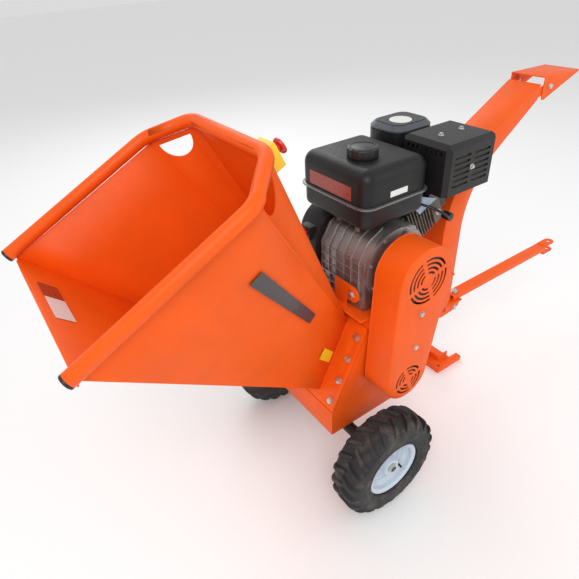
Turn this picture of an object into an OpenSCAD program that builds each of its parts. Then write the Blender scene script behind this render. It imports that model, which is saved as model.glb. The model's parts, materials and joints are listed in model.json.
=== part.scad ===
// Towable petrol wood chipper: feed hopper, drum casing, belt drive, engine, discharge chute, wheels, tow bar.
// +Z up, +X towards the tow bar, the belt side is -Y. The wheels and the rear foot stand on z = 0.
// The modules use machine coordinates, and placed() centres the whole machine on the row origin.

/* [Hopper] */
// Half width of the mouth, at the rim tube's centreline
mouth_half_w = 258; // [230:1:290]
// Half width of the rim at its top run
rim_top_half_w = 163; // [130:1:190]
// Tilt of the rim's plane from level
rim_tilt = 26.8; // [20:0.2:34]
// X of the rim tube's lower ends
lip_x = -750; // [-800:1:-700]
// Height of the rim tube's lower ends
lip_z = 917; // [880:1:950]
// Length of each straight rim arm, up to its corner
rim_arm = 421; // [380:1:460]
// Length along the arm that each cut corner takes
rim_corner = 102; // [80:1:130]
// Outside radius of the rim tube
rim_r = 16; // [13:0.5:20]
// Bend radius of the rim tube
rim_bend = 62; // [45:1:75]
// Thickness of the hopper sheets
sheet_t = 3; // [2:0.5:4]

/* [Intake flange] */
// X of the flange's lower edge
flange_x = -112; // [-125:1:-100]
// Height of the flange's lower edge
flange_z = 300; // [290:1:310]
// Lean of the flange from upright
flange_lean = 26.5; // [24:0.5:29]
// Thickness of each flange plate
flange_t = 6; // [4:0.5:8]
// Length of the flange up its slope
flange_len = 290; // [285:1:300]
// Lower edge of the throat, up the slope
throat_low = 34; // [30:1:40]
// Upper edge of the throat, up the slope
throat_high = 275; // [262:1:277]
// Half width of the throat
throat_half_w = 65; // [55:1:75]

/* [Casing and rotor] */
// Half width of the casing, outside its side plates
casing_half_w = 141; // [135:1:150]
// Thickness of the casing's side plates
side_t = 6; // [4:0.5:8]
// Height of the casing's underside
casing_z = 197; // [195:1:205]
// X of the rotor's axis
rotor_x = 91.5; // [85:0.5:98]
// Height of the rotor's axis
rotor_z = 398; // [394:1:402]
// Radius of the drum
drum_r = 95; // [85:1:100]
// Radius at the knives' edges
knife_tip_r = 120; // [112:1:120]
// Radius of the rotor shaft
shaft_r = 17.5; // [15:0.5:20]

/* [Belt drive] */
// Radius of the rotor's pulley
rotor_pulley_r = 50; // [45:1:55]
// Radius of the clutch pulley
clutch_r = 70; // [60:1:75]
// Front face of the belt guard, from the machine's middle
guard_face = 247; // [244:1:255]
// Depth of the belt guard
guard_depth = 96; // [92:1:97]

/* [Engine] */
// X of the crankshaft
crank_x = 128; // [120:1:136]
// Height of the engine's feet
engine_z = 600; // [596:1:604]
// Height of the crankshaft above the feet
crank_h = 133; // [128:1:138]
// Tilt of the cylinder above level
cylinder_tilt = 25; // [15:1:30]
// Length of the fuel tank
tank_l = 238; // [220:1:250]
// Width of the fuel tank
tank_w = 278; // [260:1:280]
// Radius of the fuel cap
cap_r = 41.5; // [35:0.5:45]

/* [Chute] */
// Width of the discharge chute
chute_w = 112; // [100:1:120]
// X of the chute's rear wall
chute_x = 500; // [495:1:505]
// Depth of the chute's upright part
chute_d = 85; // [75:1:90]
// Thickness of the chute's sheets
chute_t = 3; // [2:0.5:4]

/* [Wheels] */
// X of the wheel axis
axle_x = -34; // [-45:1:-20]
// Radius of the tyres
tyre_r = 172.5; // [165:0.5:180]
// Width of each tyre
tyre_w = 110; // [95:1:112]
// Distance from the machine's middle to each wheel's middle
wheel_y = 290; // [288:1:300]
// Radius of the rim's flange
rim_flange_r = 93; // [88:1:98]
// Radius of the axle's ends
axle_r = 10; // [8:0.5:12]

/* [Tow bar] */
// Width of the tow bar tube
bar_w = 40; // [36:1:50]
// Height of the tow bar tube
bar_h = 22; // [20:1:30]
// Height of the tow bar's top face
bar_top = 358; // [350:1:365]
// X of the tow bar's pivot bolt
pivot_x = 599; // [590:1:610]
// X of the hitch's tip
hitch_x = 1235; // [1150:1:1300]
// Radius of the hitch pin's holes
hitch_r = 8.5; // [6:0.5:10]

/* [Hidden] */
$fn = 48;

fit = 0.05;                 // radial clearance of every running fit
gap = 0.3;                  // clearance between bodies that pass each other
cap_len = 7;                // the rim cap's thickness beyond the tube's end
steel = [0.72, 0.73, 0.75];
orange = [0.93, 0.33, 0.08];
crank_z = engine_z + crank_h;
bar_z = bar_top - bar_h;
guard_low = [88, 412];
guard_low_r = 80;
guard_high = [124, 733];
guard_high_r = 98;
guard_t = 2;
belt_y = [-203, -222];      // middles of the two belts
bolt_r = 5;                 // M10
casing_rear = 300;
plate_z = engine_z - 8;     // underside of the engine plate
x_front = lip_x - cap_len * cos(rim_tilt) - (rim_r - 3) * sin(rim_tilt);
x_shift = -(x_front + hitch_x) / 2;
chute_bend_z = 682;         // height where the chute starts to curve
estop_w = 60;
estop_depth = 38;

// ---- placing and shaping helpers ----

module placed() translate([x_shift, 0, 0]) children();

// Extrudes a side outline, drawn as x and z, between two Y values
module xz(y0, y1) translate([0, y1, 0]) rotate([90, 0, 0]) linear_extrude(y1 - y0) children();

// A cylinder along Y
module rod_y(x, z, r, y0, y1) translate([x, y0, z]) rotate([-90, 0, 0]) cylinder(r = r, h = y1 - y0);

// A ring along Y, with a bore
module ring_y(x, z, r, bore, y0, y1) difference() {
    rod_y(x, z, r, y0, y1);
    rod_y(x, z, bore, y0 - 1, y1 + 1);
}

// The flange's frame: local x points into the casing, local z runs up the slope
module on_flange() translate([flange_x, 0, flange_z]) rotate([0, flange_lean, 0]) children();

// A hexagon head with its face at z = 0, growing along +Z
module hex_head(af, h) cylinder(r = af / sqrt(3), h = h, $fn = 6);

// A bolt along +Z: shank below z = 0, washer and hexagon head above it
module bolt(r, shank) {
    translate([0, 0, -shank]) cylinder(r = r, h = shank);
    cylinder(r = 2.1 * r, h = 0.4 * r);
    translate([0, 0, 0.4 * r]) hex_head(3.3 * r, 1.3 * r);
}

// A rectangle with rounded corners, centred
module round_rect(w, d, r) {
    square([w - 2 * r, d], center = true);
    square([w, d - 2 * r], center = true);
    for (sx = [-1, 1], sy = [-1, 1]) translate([sx * (w / 2 - r), sy * (d / 2 - r)]) circle(r);
}

// Points of an arc, centre c
function arc_points(c, r, a0, a1, n) = [for (i = [0 : n]) let (a = a0 + (a1 - a0) * i / n) c + r * [cos(a), sin(a)]];

// Two circles joined by their outer tangents, a below b
module belt_outline(a, b, ra, rb) {
    d = b - a;
    t = atan2(d[1], d[0]);
    w = acos((ra - rb) / norm(d));
    polygon(concat(arc_points(a, ra, t + w, t + 360 - w, 40), arc_points(b, rb, t - w, t + w, 40)));
}

// ---- hopper geometry ----

function rim_point(s, y) = [lip_x + s * cos(rim_tilt), y, lip_z + s * sin(rim_tilt)];
function flange_point(u, y) = [flange_x + u * sin(flange_lean), y, flange_z + u * cos(flange_lean)];
function lip_corner(side) = rim_point(0, side * mouth_half_w);
function arm_corner(side) = rim_point(rim_arm, side * mouth_half_w);
function top_corner(side) = rim_point(rim_arm + rim_corner, side * rim_top_half_w);
function throat_foot(side) = flange_point(throat_low, side * throat_half_w);
function throat_head(side) = flange_point(throat_high, side * throat_half_w);

// The sheets start where the rim tube's surface ends
function short_of(from, to) = from + (rim_r + 1.6) * (to - from) / norm(to - from);
function mouth_lip(side) = short_of(lip_corner(side), throat_foot(side));
function mouth_arm(side) = short_of(arm_corner(side), throat_head(side));
function mouth_top(side) = short_of(top_corner(side), throat_head(side));

// How far each corner moves inwards for one sheet thickness, so that neighbours share their mitres
lip_in = sheet_t * [0.55, -0.95, 0.85];
arm_in = sheet_t * [-0.05, -1.05, 0];
top_in = sheet_t * [-0.95, -0.45, -0.4];
foot_in = sheet_t * [0.5, -1, 0.9];
head_in = sheet_t * [-0.6, -1, -0.35];
function inward(v, side) = [v[0], side * v[1], v[2]];

// A sheet between an outer and an inner four-cornered face, divided so that it can twist. Neighbours that share a
// twisted seam divide it along the same diagonals, which other_way chooses.
function lerp(a, b, t) = a + (b - a) * t;
function patch_points(q, n) =
    [for (i = [0 : n], j = [0 : n]) lerp(lerp(q[0], q[1], i / n), lerp(q[3], q[2], i / n), j / n)];
module twisted_sheet(outer, inner, n, other_way = false) {
    m = (n + 1) * (n + 1);
    edge = concat([for (i = [0 : n - 1]) i * (n + 1)], [for (j = [0 : n - 1]) n * (n + 1) + j],
        [for (i = [n : -1 : 1]) i * (n + 1) + n], [for (j = [n : -1 : 1]) j]);
    cells = [for (i = [0 : n - 1], j = [0 : n - 1]) [i * (n + 1) + j, (i + 1) * (n + 1) + j]];
    polyhedron(concat(patch_points(outer, n), patch_points(inner, n)), concat(
        [for (c = cells) [c[0], c[1], c[0] + 1]], [for (c = cells) [c[0] + 1, c[1], c[1] + 1]],
        [for (c = cells) [m + c[0], m + c[0] + 1, m + c[1]]],
        [for (c = cells) [m + c[0] + 1, m + c[1] + 1, m + c[1]]],
        [for (k = [0 : 4 * n - 1]) let (a = edge[k], b = edge[(k + 1) % (4 * n)])
            other_way ? [a, m + a, b] : [a, m + b, b]],
        [for (k = [0 : 4 * n - 1]) let (a = edge[k], b = edge[(k + 1) % (4 * n)])
            other_way ? [b, m + a, m + b] : [a, m + a, m + b]]));
}

// The rim's bent centreline, in the rim's own plane: local x runs up the arms
module in_rim_plane() translate([lip_x, 0, lip_z]) rotate([0, -rim_tilt, 0]) children();
corner_turn = atan2(mouth_half_w - rim_top_half_w, rim_corner);
arm_cut = rim_bend * tan(corner_turn / 2);
top_cut = rim_bend * tan((90 - corner_turn) / 2);
corner_len = norm([rim_corner, mouth_half_w - rim_top_half_w]);

module rim_section(wall) difference() {
    circle(rim_r);
    circle(rim_r - wall);
}

module rim_run(len, wall) rotate([90, 0, 90]) linear_extrude(len) rim_section(wall);

module rim_elbow(turn, wall)
    translate([0, rim_bend, 0]) rotate([0, 0, -90]) rotate_extrude(angle = turn) translate([rim_bend, 0]) rim_section(wall);

// One half of the rim, from the lower end to the middle of the top run
module rim_half(wall) in_rim_plane() translate([0, -mouth_half_w, 0]) {
    rim_run(rim_arm - arm_cut, wall);
    translate([rim_arm - arm_cut, 0, 0]) rim_elbow(corner_turn, wall);
    translate([rim_arm, 0, 0]) rotate([0, 0, corner_turn]) {
        translate([arm_cut, 0, 0]) rim_run(corner_len - arm_cut - top_cut, wall);
        translate([corner_len - top_cut, 0, 0]) rim_elbow(90 - corner_turn, wall);
        translate([corner_len, 0, 0]) rotate([0, 0, 90 - corner_turn])
            translate([top_cut, 0, 0]) rim_run(rim_top_half_w - top_cut, wall);
    }
}

module rim_tube() color(orange) {
    rim_half(2);
    mirror([0, 1, 0]) rim_half(2);
}

module rim_caps() color([0.08, 0.08, 0.08])
    for (side = [-1, 1]) in_rim_plane() translate([0, side * mouth_half_w, 0]) rotate([0, -90, 0]) {
        translate([0, 0, -14]) cylinder(r = rim_r - 2, h = 14);
        cylinder(r = rim_r, h = cap_len - 2);
        translate([0, 0, cap_len - 2]) cylinder(r1 = rim_r, r2 = rim_r - 3, h = 2);
    }

// ---- hopper sheets ----

module hopper_floor() color(orange) {
    twisted_sheet([mouth_lip(-1), throat_foot(-1), throat_foot(1), mouth_lip(1)],
        [mouth_lip(-1) + inward(lip_in, -1), throat_foot(-1) + inward(foot_in, -1),
         throat_foot(1) + inward(foot_in, 1), mouth_lip(1) + inward(lip_in, 1)], 6, true);
    edge = mouth_lip(1);
    lip_half = mouth_half_w - rim_r - 4;
    translate([edge[0] - sheet_t, -lip_half, edge[2] - 26]) cube([sheet_t + 1, 2 * lip_half, 28]);
}

module hopper_side(side) {
    o = [mouth_lip(side), mouth_arm(side), throat_head(side), throat_foot(side)];
    i = [o[0] + inward(lip_in, side), o[1] + inward(arm_in, side),
         o[2] + inward(head_in, side), o[3] + inward(foot_in, side)];
    if (side < 0) twisted_sheet(o, i, 6);
    else twisted_sheet([o[0], o[3], o[2], o[1]], [i[0], i[3], i[2], i[1]], 6);
}

module hopper_sides() color(orange) for (side = [-1, 1]) hopper_side(side);

module hopper_roof() color(orange)
    twisted_sheet([mouth_top(-1), mouth_top(1), throat_head(1), throat_head(-1)],
        [mouth_top(-1) + inward(top_in, -1), mouth_top(1) + inward(top_in, 1),
         throat_head(1) + inward(head_in, 1), throat_head(-1) + inward(head_in, -1)], 1);

// Local frame of a corner sheet: local x along the cut corner, local z out of the sheet
corner_mid = (arm_corner(-1) + top_corner(-1)) / 2;
corner_u = (top_corner(-1) - arm_corner(-1)) / norm(top_corner(-1) - arm_corner(-1));
corner_n0 = cross(corner_u, throat_head(-1) - corner_mid);
corner_n = corner_n0 / norm(corner_n0);
corner_v = cross(corner_n, corner_u);
module on_corner() translate(corner_mid) multmatrix([
    [corner_u[0], corner_v[0], corner_n[0], 0], [corner_u[1], corner_v[1], corner_n[1], 0],
    [corner_u[2], corner_v[2], corner_n[2], 0], [0, 0, 0, 1]]) children();

// D-shaped hand hole: straight beside the rim tube, round on the other side
hand_w = 92;
hand_h = 46;
hand_edge = 30;
module hand_hole() on_corner() translate([0, hand_edge, -20]) linear_extrude(40) intersection() {
    translate([0, hand_h - hand_w / 2]) circle(hand_w / 2);
    translate([-hand_w / 2, 0]) square([hand_w, hand_h]);
}

// The seam is the mitred face towards the roof, divided along the same diagonal as the roof's own
module hopper_corner(seam) difference() {
    polyhedron([mouth_arm(-1), mouth_top(-1), throat_head(-1),
        mouth_arm(-1) + inward(arm_in, -1), mouth_top(-1) + inward(top_in, -1),
        throat_head(-1) + inward(head_in, -1)],
        concat([[0, 2, 1], [3, 4, 5], [0, 1, 4], [0, 4, 3], [2, 0, 3], [2, 3, 5]], seam));
    hand_hole();
}

module hopper_corners() color(orange) {
    hopper_corner([[1, 2, 4], [2, 5, 4]]);
    mirror([0, 1, 0]) hopper_corner([[1, 2, 5], [1, 5, 4]]);
}

// ---- intake flanges and their bolts ----

flange_bolt_u = [28, 102, 176, 250];
flange_bolt_y = casing_half_w - 22;
module flange_bolt_places() for (side = [-1, 1], u = flange_bolt_u) translate([0, side * flange_bolt_y, u]) children();

module throat_plate(x0, len) difference() {
    translate([x0, -casing_half_w, 0]) cube([flange_t, 2 * casing_half_w, len]);
    translate([x0 - 1, -throat_half_w, throat_low]) cube([flange_t + 2, 2 * throat_half_w, throat_high - throat_low]);
    flange_bolt_places() translate([x0 - 1, 0, 0]) rotate([0, 90, 0]) cylinder(r = bolt_r + 0.5, h = flange_t + 2);
}

intake_len = 326;           // the intake plate runs on up to the engine plate
module hopper_flange() color(orange) on_flange() throat_plate(0, flange_len);
module intake_plate() color(orange) on_flange() throat_plate(flange_t, intake_len);

bearing_bolt_c = 33;
module bearing_bolt_places() for (sx = [-1, 1], sz = [-1, 1])
    translate([rotor_x + sx * bearing_bolt_c, 0, rotor_z + sz * bearing_bolt_c]) children();

chute_flange_w = 150;
chute_bolt_places = [for (y = [-66, 66], z = [275, 315, 355]) [y, z]];

// The larger bolts: intake flanges, bearings, engine
module large_bolts() color(steel) {
    on_flange() flange_bolt_places() rotate([0, -90, 0]) bolt(bolt_r, 2 * flange_t);
    for (side = [-1, 1]) bearing_bolt_places() translate([0, side * (casing_half_w + 14), 0])
        rotate([-side * 90, 0, 0]) bolt(bolt_r, 14 + side_t);
    engine_bolt_places() translate([0, 0, engine_z + 14]) bolt(bolt_r, 14 + engine_z - plate_z);
    translate([tab_x, tab_y, engine_z + tab_h]) rotate([0, -90, 0]) bolt(bolt_r, 10);
}

// The smaller bolts: chute flange, belt guard, deflector
module small_bolts() color(steel) {
    for (p = chute_bolt_places) translate([casing_rear + flange_t, p[0], p[1]]) rotate([0, 90, 0]) bolt(4, flange_t + side_t);
    for (i = [0, 1]) translate([guard_bolt_x[i], -guard_face, guard_bolt_z[i]]) rotate([90, 0, 0]) bolt(4, guard_depth + 8);
    for (side = [-1, 1]) translate([ear_x, 0, ear_z]) {
        translate([0, side * (hood_y + chute_t + gap), 0]) rotate([-side * 90, 0, 0]) bolt(4, 14);
        translate([0, side * (chute_w / 2 - chute_t), 0]) rotate([side * 90, 0, 0]) hex_head(13, 6);
    }
}

// ---- emergency stop ----

roof_dir = [throat_head(1)[0] - top_corner(1)[0], 0, throat_head(1)[2] - top_corner(1)[2]];
roof_lean = atan2(roof_dir[0], -roof_dir[2]);
estop_down = 50;
estop_y = -88;
// Local z out of the roof sheet, local x down the slope
module on_roof() translate([top_corner(1)[0], 0, top_corner(1)[2]]) rotate([0, 90 - roof_lean, 0]) children();

module estop_box() color("gold") on_roof() translate([estop_down, estop_y, 0]) difference() {
    union() {
        translate([-estop_w / 2, -estop_w / 2, 0]) cube([estop_w + 26, estop_w, 3]);
        translate([0, 0, 3]) linear_extrude(estop_depth) round_rect(estop_w, estop_w, 6);
        translate([0, 0, 3 + estop_depth]) cylinder(r = 15, h = 5);
    }
    translate([0, 0, 14]) cylinder(r = 9 + fit, h = estop_depth);
}

module estop_button() color("red") on_roof() translate([estop_down, estop_y, 0]) {
    translate([0, 0, 22]) cylinder(r = 9, h = 34);
    translate([0, 0, 56]) cylinder(r1 = 17, r2 = 19, h = 5);
    translate([0, 0, 61]) cylinder(r1 = 19, r2 = 16, h = 4);
}

// ---- casing ----

back_x = 2 * flange_t / cos(flange_lean);   // where the intake plate's back face cuts a level line
plates_foot = [flange_x + 2 * flange_t * cos(flange_lean), flange_z - 2 * flange_t * sin(flange_lean) - 0.1];
module casing_outline() polygon([[flange_x, casing_z], [250, casing_z], [casing_rear, 260],
    [casing_rear, plate_z],
    [flange_x + (plate_z - flange_z) * tan(flange_lean) + back_x, plate_z],
    plates_foot, [flange_x, plates_foot[1]]]);

module casing_side(y0, y1) color(orange) difference() {
    xz(y0, y1) casing_outline();
    rod_y(rotor_x, rotor_z, shaft_r + 6, y0 - 1, y1 + 1);
    bearing_bolt_places() rod_y(0, 0, bolt_r + 0.5, y0 - 1, y1 + 1);
}
module casing_sides() {
    casing_side(-casing_half_w, -casing_half_w + side_t);
    casing_side(casing_half_w - side_t, casing_half_w);
}

inner_half = casing_half_w - side_t;

// Bottom, rear and lower front plates, with the anvil's seat across them
module casing_shell() color(orange) difference() {
    union() {
        xz(-inner_half, inner_half) difference() {
            casing_outline();
            polygon([[flange_x + 5, casing_z + 5], [248, casing_z + 5], [casing_rear - side_t, 262],
                [casing_rear - side_t, 700], [-200, 700], [-200, flange_z], [flange_x + 5, flange_z]]);
        }
        xz(-inner_half, inner_half) polygon([[-84, 290], [-30, 296], [-30, 325], [-84, 325]]);
    }
    translate([casing_rear - 20, -chute_w / 2 + chute_t, 262]) cube([40, chute_w - 2 * chute_t, 107]);
    for (p = chute_bolt_places) translate([casing_rear - 10, p[0], p[1]]) rotate([0, 90, 0]) cylinder(r = 4.4, h = 20);
}

liner_r = 130;
liner_t = 4;
module liner_arc(a0, a1) polygon(concat(arc_points([rotor_x, rotor_z], liner_r, a0, a1, 24),
    arc_points([rotor_x, rotor_z], liner_r + liner_t, a1, a0, 24)));

// Curved guide plates around the drum: over the top, and under it into the chute
module rotor_liner() color(steel) {
    floor_z = rotor_z - liner_r;
    xz(-inner_half, inner_half) {
        liner_arc(-12, 108);
        liner_arc(218, 270);
        polygon([[51.3, 521.6], [50.1, 525.4], [24, 544.6], [22.4, 541]]);
        polygon([[rotor_x, floor_z], [rotor_x, floor_z - liner_t], [290, 258], [290, 262]]);
    }
}

module anvil_knife() color(steel) difference() {
    translate([-79, -inner_half, 325]) cube([63.8, 2 * inner_half, 14]);
    for (y = [-90, -30, 30, 90]) translate([-56, y, 320]) cylinder(r = 5, h = 30);
}

// Upright tab that the engine is pushed from, to tighten the belts
tab_x = 8;
tab_y = -84;
tab_h = 54;
tab_r = 25;
module engine_plate() color(orange) difference() {
    union() {
        translate([-8, -casing_half_w, plate_z]) cube([394, 2 * casing_half_w + 20, engine_z - plate_z]);
        translate([tab_x, tab_y, engine_z + tab_h - tab_r]) cube([6, 76, 2 * tab_r]);
        translate([tab_x, tab_y, engine_z + tab_h]) rotate([0, 90, 0]) cylinder(r = tab_r, h = 6);
        translate([tab_x, tab_y + 26, engine_z]) cube([6, 50, 40]);
    }
    translate([tab_x - 1, tab_y, engine_z + tab_h]) rotate([0, 90, 0]) cylinder(r = bolt_r + 0.5, h = 8);
    engine_bolt_places() translate([0, 0, plate_z - 1]) cylinder(r = bolt_r + 0.5, h = 20);
}

// ---- rotor ----

bearing_w = 92;
module rotor_bearings() color([0.25, 0.3, 0.32]) for (side = [-1, 1]) {
    y0 = side < 0 ? -casing_half_w - 14 : casing_half_w;
    y1 = side < 0 ? -casing_half_w - 34 : casing_half_w + 14;
    difference() {
        union() {
            xz(y0, y0 + 14) translate([rotor_x, rotor_z]) round_rect(bearing_w, bearing_w, 14);
            rod_y(rotor_x, rotor_z, 36, y1, y1 + 20);
        }
        rod_y(rotor_x, rotor_z, shaft_r + fit, -300, 300);
        bearing_bolt_places() rod_y(0, 0, bolt_r + 0.5, y0 - 1, y0 + 15);
    }
}

module rotor_shaft() color(steel) {
    rod_y(rotor_x, rotor_z, shaft_r, -238, casing_half_w + 38);
    rod_y(rotor_x, rotor_z, shaft_r + 5, -inner_half + 1, inner_half - 1);
}

knife_half = 118;
module around_drum() for (a = [100, 280]) translate([rotor_x, 0, rotor_z]) rotate([0, a, 0]) children();
module knife_bolt_places() for (y = [-84, -28, 28, 84]) translate([87, y, 0]) children();

module rotor_drum() color([0.45, 0.46, 0.48]) difference() {
    rod_y(rotor_x, rotor_z, drum_r, -122, 122);
    rod_y(rotor_x, rotor_z, shaft_r + 5, -130, 130);
    for (y = [-130, 10]) ring_y(rotor_x, rotor_z, 68, 32, y, y + 120);
    around_drum() {
        translate([76, -knife_half, -4.5]) cube([40, 2 * knife_half, 9]);
        translate([76, -knife_half, 4]) cube([40, 2 * knife_half, 26]);
        knife_bolt_places() translate([0, 0, -24]) cylinder(r = bolt_r, h = 30);
    }
}

module rotor_knives() color(steel) around_drum() {
    difference() {
        translate([76, -knife_half, -4.5]) cube([knife_tip_r - 76, 2 * knife_half, 9]);
        knife_bolt_places() translate([0, 0, -10]) cylinder(r = bolt_r, h = 30);
        translate([knife_tip_r, -130, -4.5]) rotate([0, 40, 0]) cube([20, 260, 20]);
    }
    knife_bolt_places() translate([0, 0, 4.5]) bolt(bolt_r, 26);
}

// ---- belt drive ----

module pulley(x, z, r, bore) color([0.3, 0.3, 0.32]) difference() {
    rod_y(x, z, r, -233, -192);
    rod_y(x, z, bore, -300, -100);
    for (y = belt_y) translate([x, y, z]) rotate([-90, 0, 0]) rotate_extrude()
        polygon([[r - 14, -5], [r + 1, -9], [r + 1, 9], [r - 14, 5]]);
}

module rotor_pulley() pulley(rotor_x, rotor_z, rotor_pulley_r, shaft_r);
module clutch_pulley() {
    pulley(crank_x, crank_z, clutch_r, shaft_r);
    color([0.3, 0.3, 0.32]) ring_y(crank_x, crank_z, 52, shaft_r, -192, -166);
}

module drive_belts() color([0.1, 0.1, 0.1]) for (y = belt_y) difference() {
    xz(y - 4.4, y + 4.4) belt_outline([rotor_x, rotor_z], [crank_x, crank_z], rotor_pulley_r - 3, clutch_r - 3);
    xz(y - 9, y + 9) belt_outline([rotor_x, rotor_z], [crank_x, crank_z], rotor_pulley_r - 13, clutch_r - 13);
}

module guard_outline(inset) belt_outline(guard_low, guard_high, guard_low_r - inset, guard_high_r - inset);

// Concentric vent slots, cut by four spokes
module vent(r0, rings, pitch, slot) difference() {
    for (i = [0 : rings - 1]) difference() {
        circle(r0 + i * pitch + slot);
        circle(r0 + i * pitch);
    }
    for (a = [20, 110]) rotate(a) square([400, 13], center = true);
}

guard_bolt_x = [114, 106];
guard_bolt_z = [632, 518];
module belt_guard() color(orange) difference() {
    xz(-guard_face, -guard_face + guard_depth) guard_outline(0);
    xz(-guard_face + guard_t, 0) guard_outline(guard_t);
    xz(-guard_face - 1, -guard_face + 10) {
        translate([crank_x, crank_z]) vent(22, 4, 13.5, 7);
        translate([rotor_x, rotor_z]) vent(17, 3, 13, 7);
    }
    for (i = [0, 1]) rod_y(guard_bolt_x[i], guard_bolt_z[i], 4.4, -260, -230);
}

module guard_back() color(orange) difference() {
    xz(-guard_face + guard_depth - 3, -guard_face + guard_depth) guard_outline(guard_t);
    xz(-200, -100) translate([rotor_x, rotor_z]) round_rect(bearing_w + 4, bearing_w + 4, 14);
    rod_y(crank_x, crank_z, 60, -200, -100);
    for (i = [0, 1]) rod_y(guard_bolt_x[i], guard_bolt_z[i], 4, -200, -100);
}

// ---- engine ----

engine_bolt_x = [62, 195];
engine_bolt_y = [-80, 40];
module engine_bolt_places() for (x = engine_bolt_x, y = engine_bolt_y) translate([x, y, 0]) children();

// The cylinder's frame: local x runs from the crankshaft out along the bore
module on_cylinder() translate([crank_x, -22, crank_z]) rotate([0, -cylinder_tilt, 0]) children();

module crankshaft() color(steel) {
    rod_y(crank_x, crank_z, shaft_r, -239, -60);
    rod_y(crank_x, crank_z, 52, -60, -42);
    rod_y(crank_x - 34, crank_z, 16, -42, -2);
    rod_y(crank_x, crank_z, 52, -2, 16);
    rod_y(crank_x, crank_z, shaft_r, 16, 132);
}

case_y0 = -118;
deck_x = 108;               // where the cylinder stands on the crankcase, along the bore
case_y1 = 72;
module crankcase() color([0.75, 0.76, 0.78]) difference() {
    union() {
        xz(case_y0, case_y1) {
            polygon([[28, engine_z + 12], [228, engine_z + 12], [236, crank_z - 20], [228, crank_z + 37],
                [205, crank_z + 87], [156, crank_z + 105], [100, crank_z + 105], [52, crank_z + 79],
                [20, crank_z + 27], [20, crank_z - 43]]);
        }
        translate([26, case_y0 + 8, engine_z]) cube([206, case_y1 - case_y0 - 16, 14]);
        on_cylinder() translate([60, -52, -52]) cube([deck_x - 60, 104, 104]);
        for (x = [-50, 50], y = [-40, 40]) translate([tank_x + x, tank_y + y, 818]) cylinder(r = 8, h = seam_z - tank_deep - 818);
    }
    rod_y(crank_x, crank_z, 92, case_y0 - 1, case_y1 - 12);
    rod_y(crank_x, crank_z, shaft_r + fit, 0, 200);
    engine_bolt_places() translate([0, 0, engine_z - 1]) cylinder(r = bolt_r + 0.5, h = 20);
    engine_bolt_places() translate([0, 0, engine_z + 14]) cylinder(r = 12, h = 22);
    on_cylinder() rotate([0, 90, 0]) cylinder(r = 44, h = 130);
}

cover_rim = 116;
module crankcase_cover() color([0.75, 0.76, 0.78]) {
    y1 = case_y0;
    difference() {
        union() {
            rod_y(crank_x, crank_z, cover_rim - 8, y1 - 12, y1);
            rod_y(crank_x, crank_z, 70, y1 - 26, y1 - 12);
            rod_y(crank_x, crank_z, 34, y1 - 34, y1 - 26);
        }
        rod_y(crank_x, crank_z, shaft_r + fit, -300, 0);
        rod_y(crank_x, crank_z, 60, y1 - 18, y1 + 1);
    }
    for (a = [15 : 45 : 330]) translate([crank_x, y1 - 12, crank_z]) rotate([0, a, 0])
        translate([98, 0, 0]) rotate([90, 0, 0]) bolt(3, 0.01);
}

module cylinder_fins() for (i = [0 : 7]) translate([114 + i * 10.5, -62, -58]) cube([3.5, 124, 116]);

module cylinder_block() color([0.62, 0.64, 0.67]) on_cylinder() difference() {
    union() {
        translate([deck_x, 0, 0]) rotate([0, 90, 0]) cylinder(r = 55, h = 202 - deck_x);
        cylinder_fins();
        translate([202, -60, -56]) cube([36, 120, 112]);
    }
    translate([60, 0, 0]) rotate([0, 90, 0]) cylinder(r = 44, h = 145);
}

module valve_cover() color([0.12, 0.12, 0.13]) on_cylinder() {
    translate([238, 0, 0]) rotate([0, 90, 0]) linear_extrude(6) round_rect(96, 112, 12);
    translate([244, 0, 0]) rotate([0, 90, 0]) linear_extrude(24) round_rect(84, 100, 16);
}

module spark_plug() color("white") on_cylinder() translate([220, -60, -20]) rotate([90, 0, 0]) {
    cylinder(r = 10, h = 6, $fn = 6);
    translate([0, 0, 6]) cylinder(r = 7, h = 14);
    translate([0, 0, 20]) cylinder(r = 10, h = 26);
}

tank_x = 116;
tank_y = 3;
seam_z = 926;
tank_deep = 60;             // depth of the tank below its seam
cap_off = [-28, -25];       // the cap's place from the tank's middle
module fuel_tank() color([0.1, 0.1, 0.11]) translate([tank_x, tank_y, 0]) difference() {
    union() {
        translate([0, 0, seam_z - tank_deep]) linear_extrude(tank_deep) round_rect(tank_l - 14, tank_w - 14, 34);
        translate([0, 0, seam_z]) linear_extrude(5) round_rect(tank_l + 4, tank_w + 4, 38);
        translate([0, 0, seam_z + 5]) linear_extrude(70) round_rect(tank_l - 10, tank_w - 10, 36);
        translate([0, 0, seam_z + 75]) linear_extrude(20) round_rect(tank_l - 44, tank_w - 44, 36);
        translate([cap_off[0], cap_off[1], seam_z + 95]) cylinder(r = 30, h = 14);
    }
    translate([0, 0, seam_z - tank_deep + 4]) linear_extrude(tank_deep + 67) round_rect(tank_l - 20, tank_w - 20, 34);
    translate([cap_off[0], cap_off[1], seam_z + 60]) cylinder(r = 25, h = 60);
}

cap_z = seam_z + 95;
module tank_cap() color([0.07, 0.07, 0.07]) translate([tank_x + cap_off[0], tank_y + cap_off[1], 0]) difference() {
    union() {
        translate([0, 0, cap_z + 2]) cylinder(r = cap_r, h = 20);
        translate([0, 0, cap_z + 22]) cylinder(r1 = cap_r, r2 = cap_r - 4, h = 4);
    }
    translate([0, 0, cap_z]) cylinder(r = 30 + gap, h = 14 + gap);
}

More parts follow.
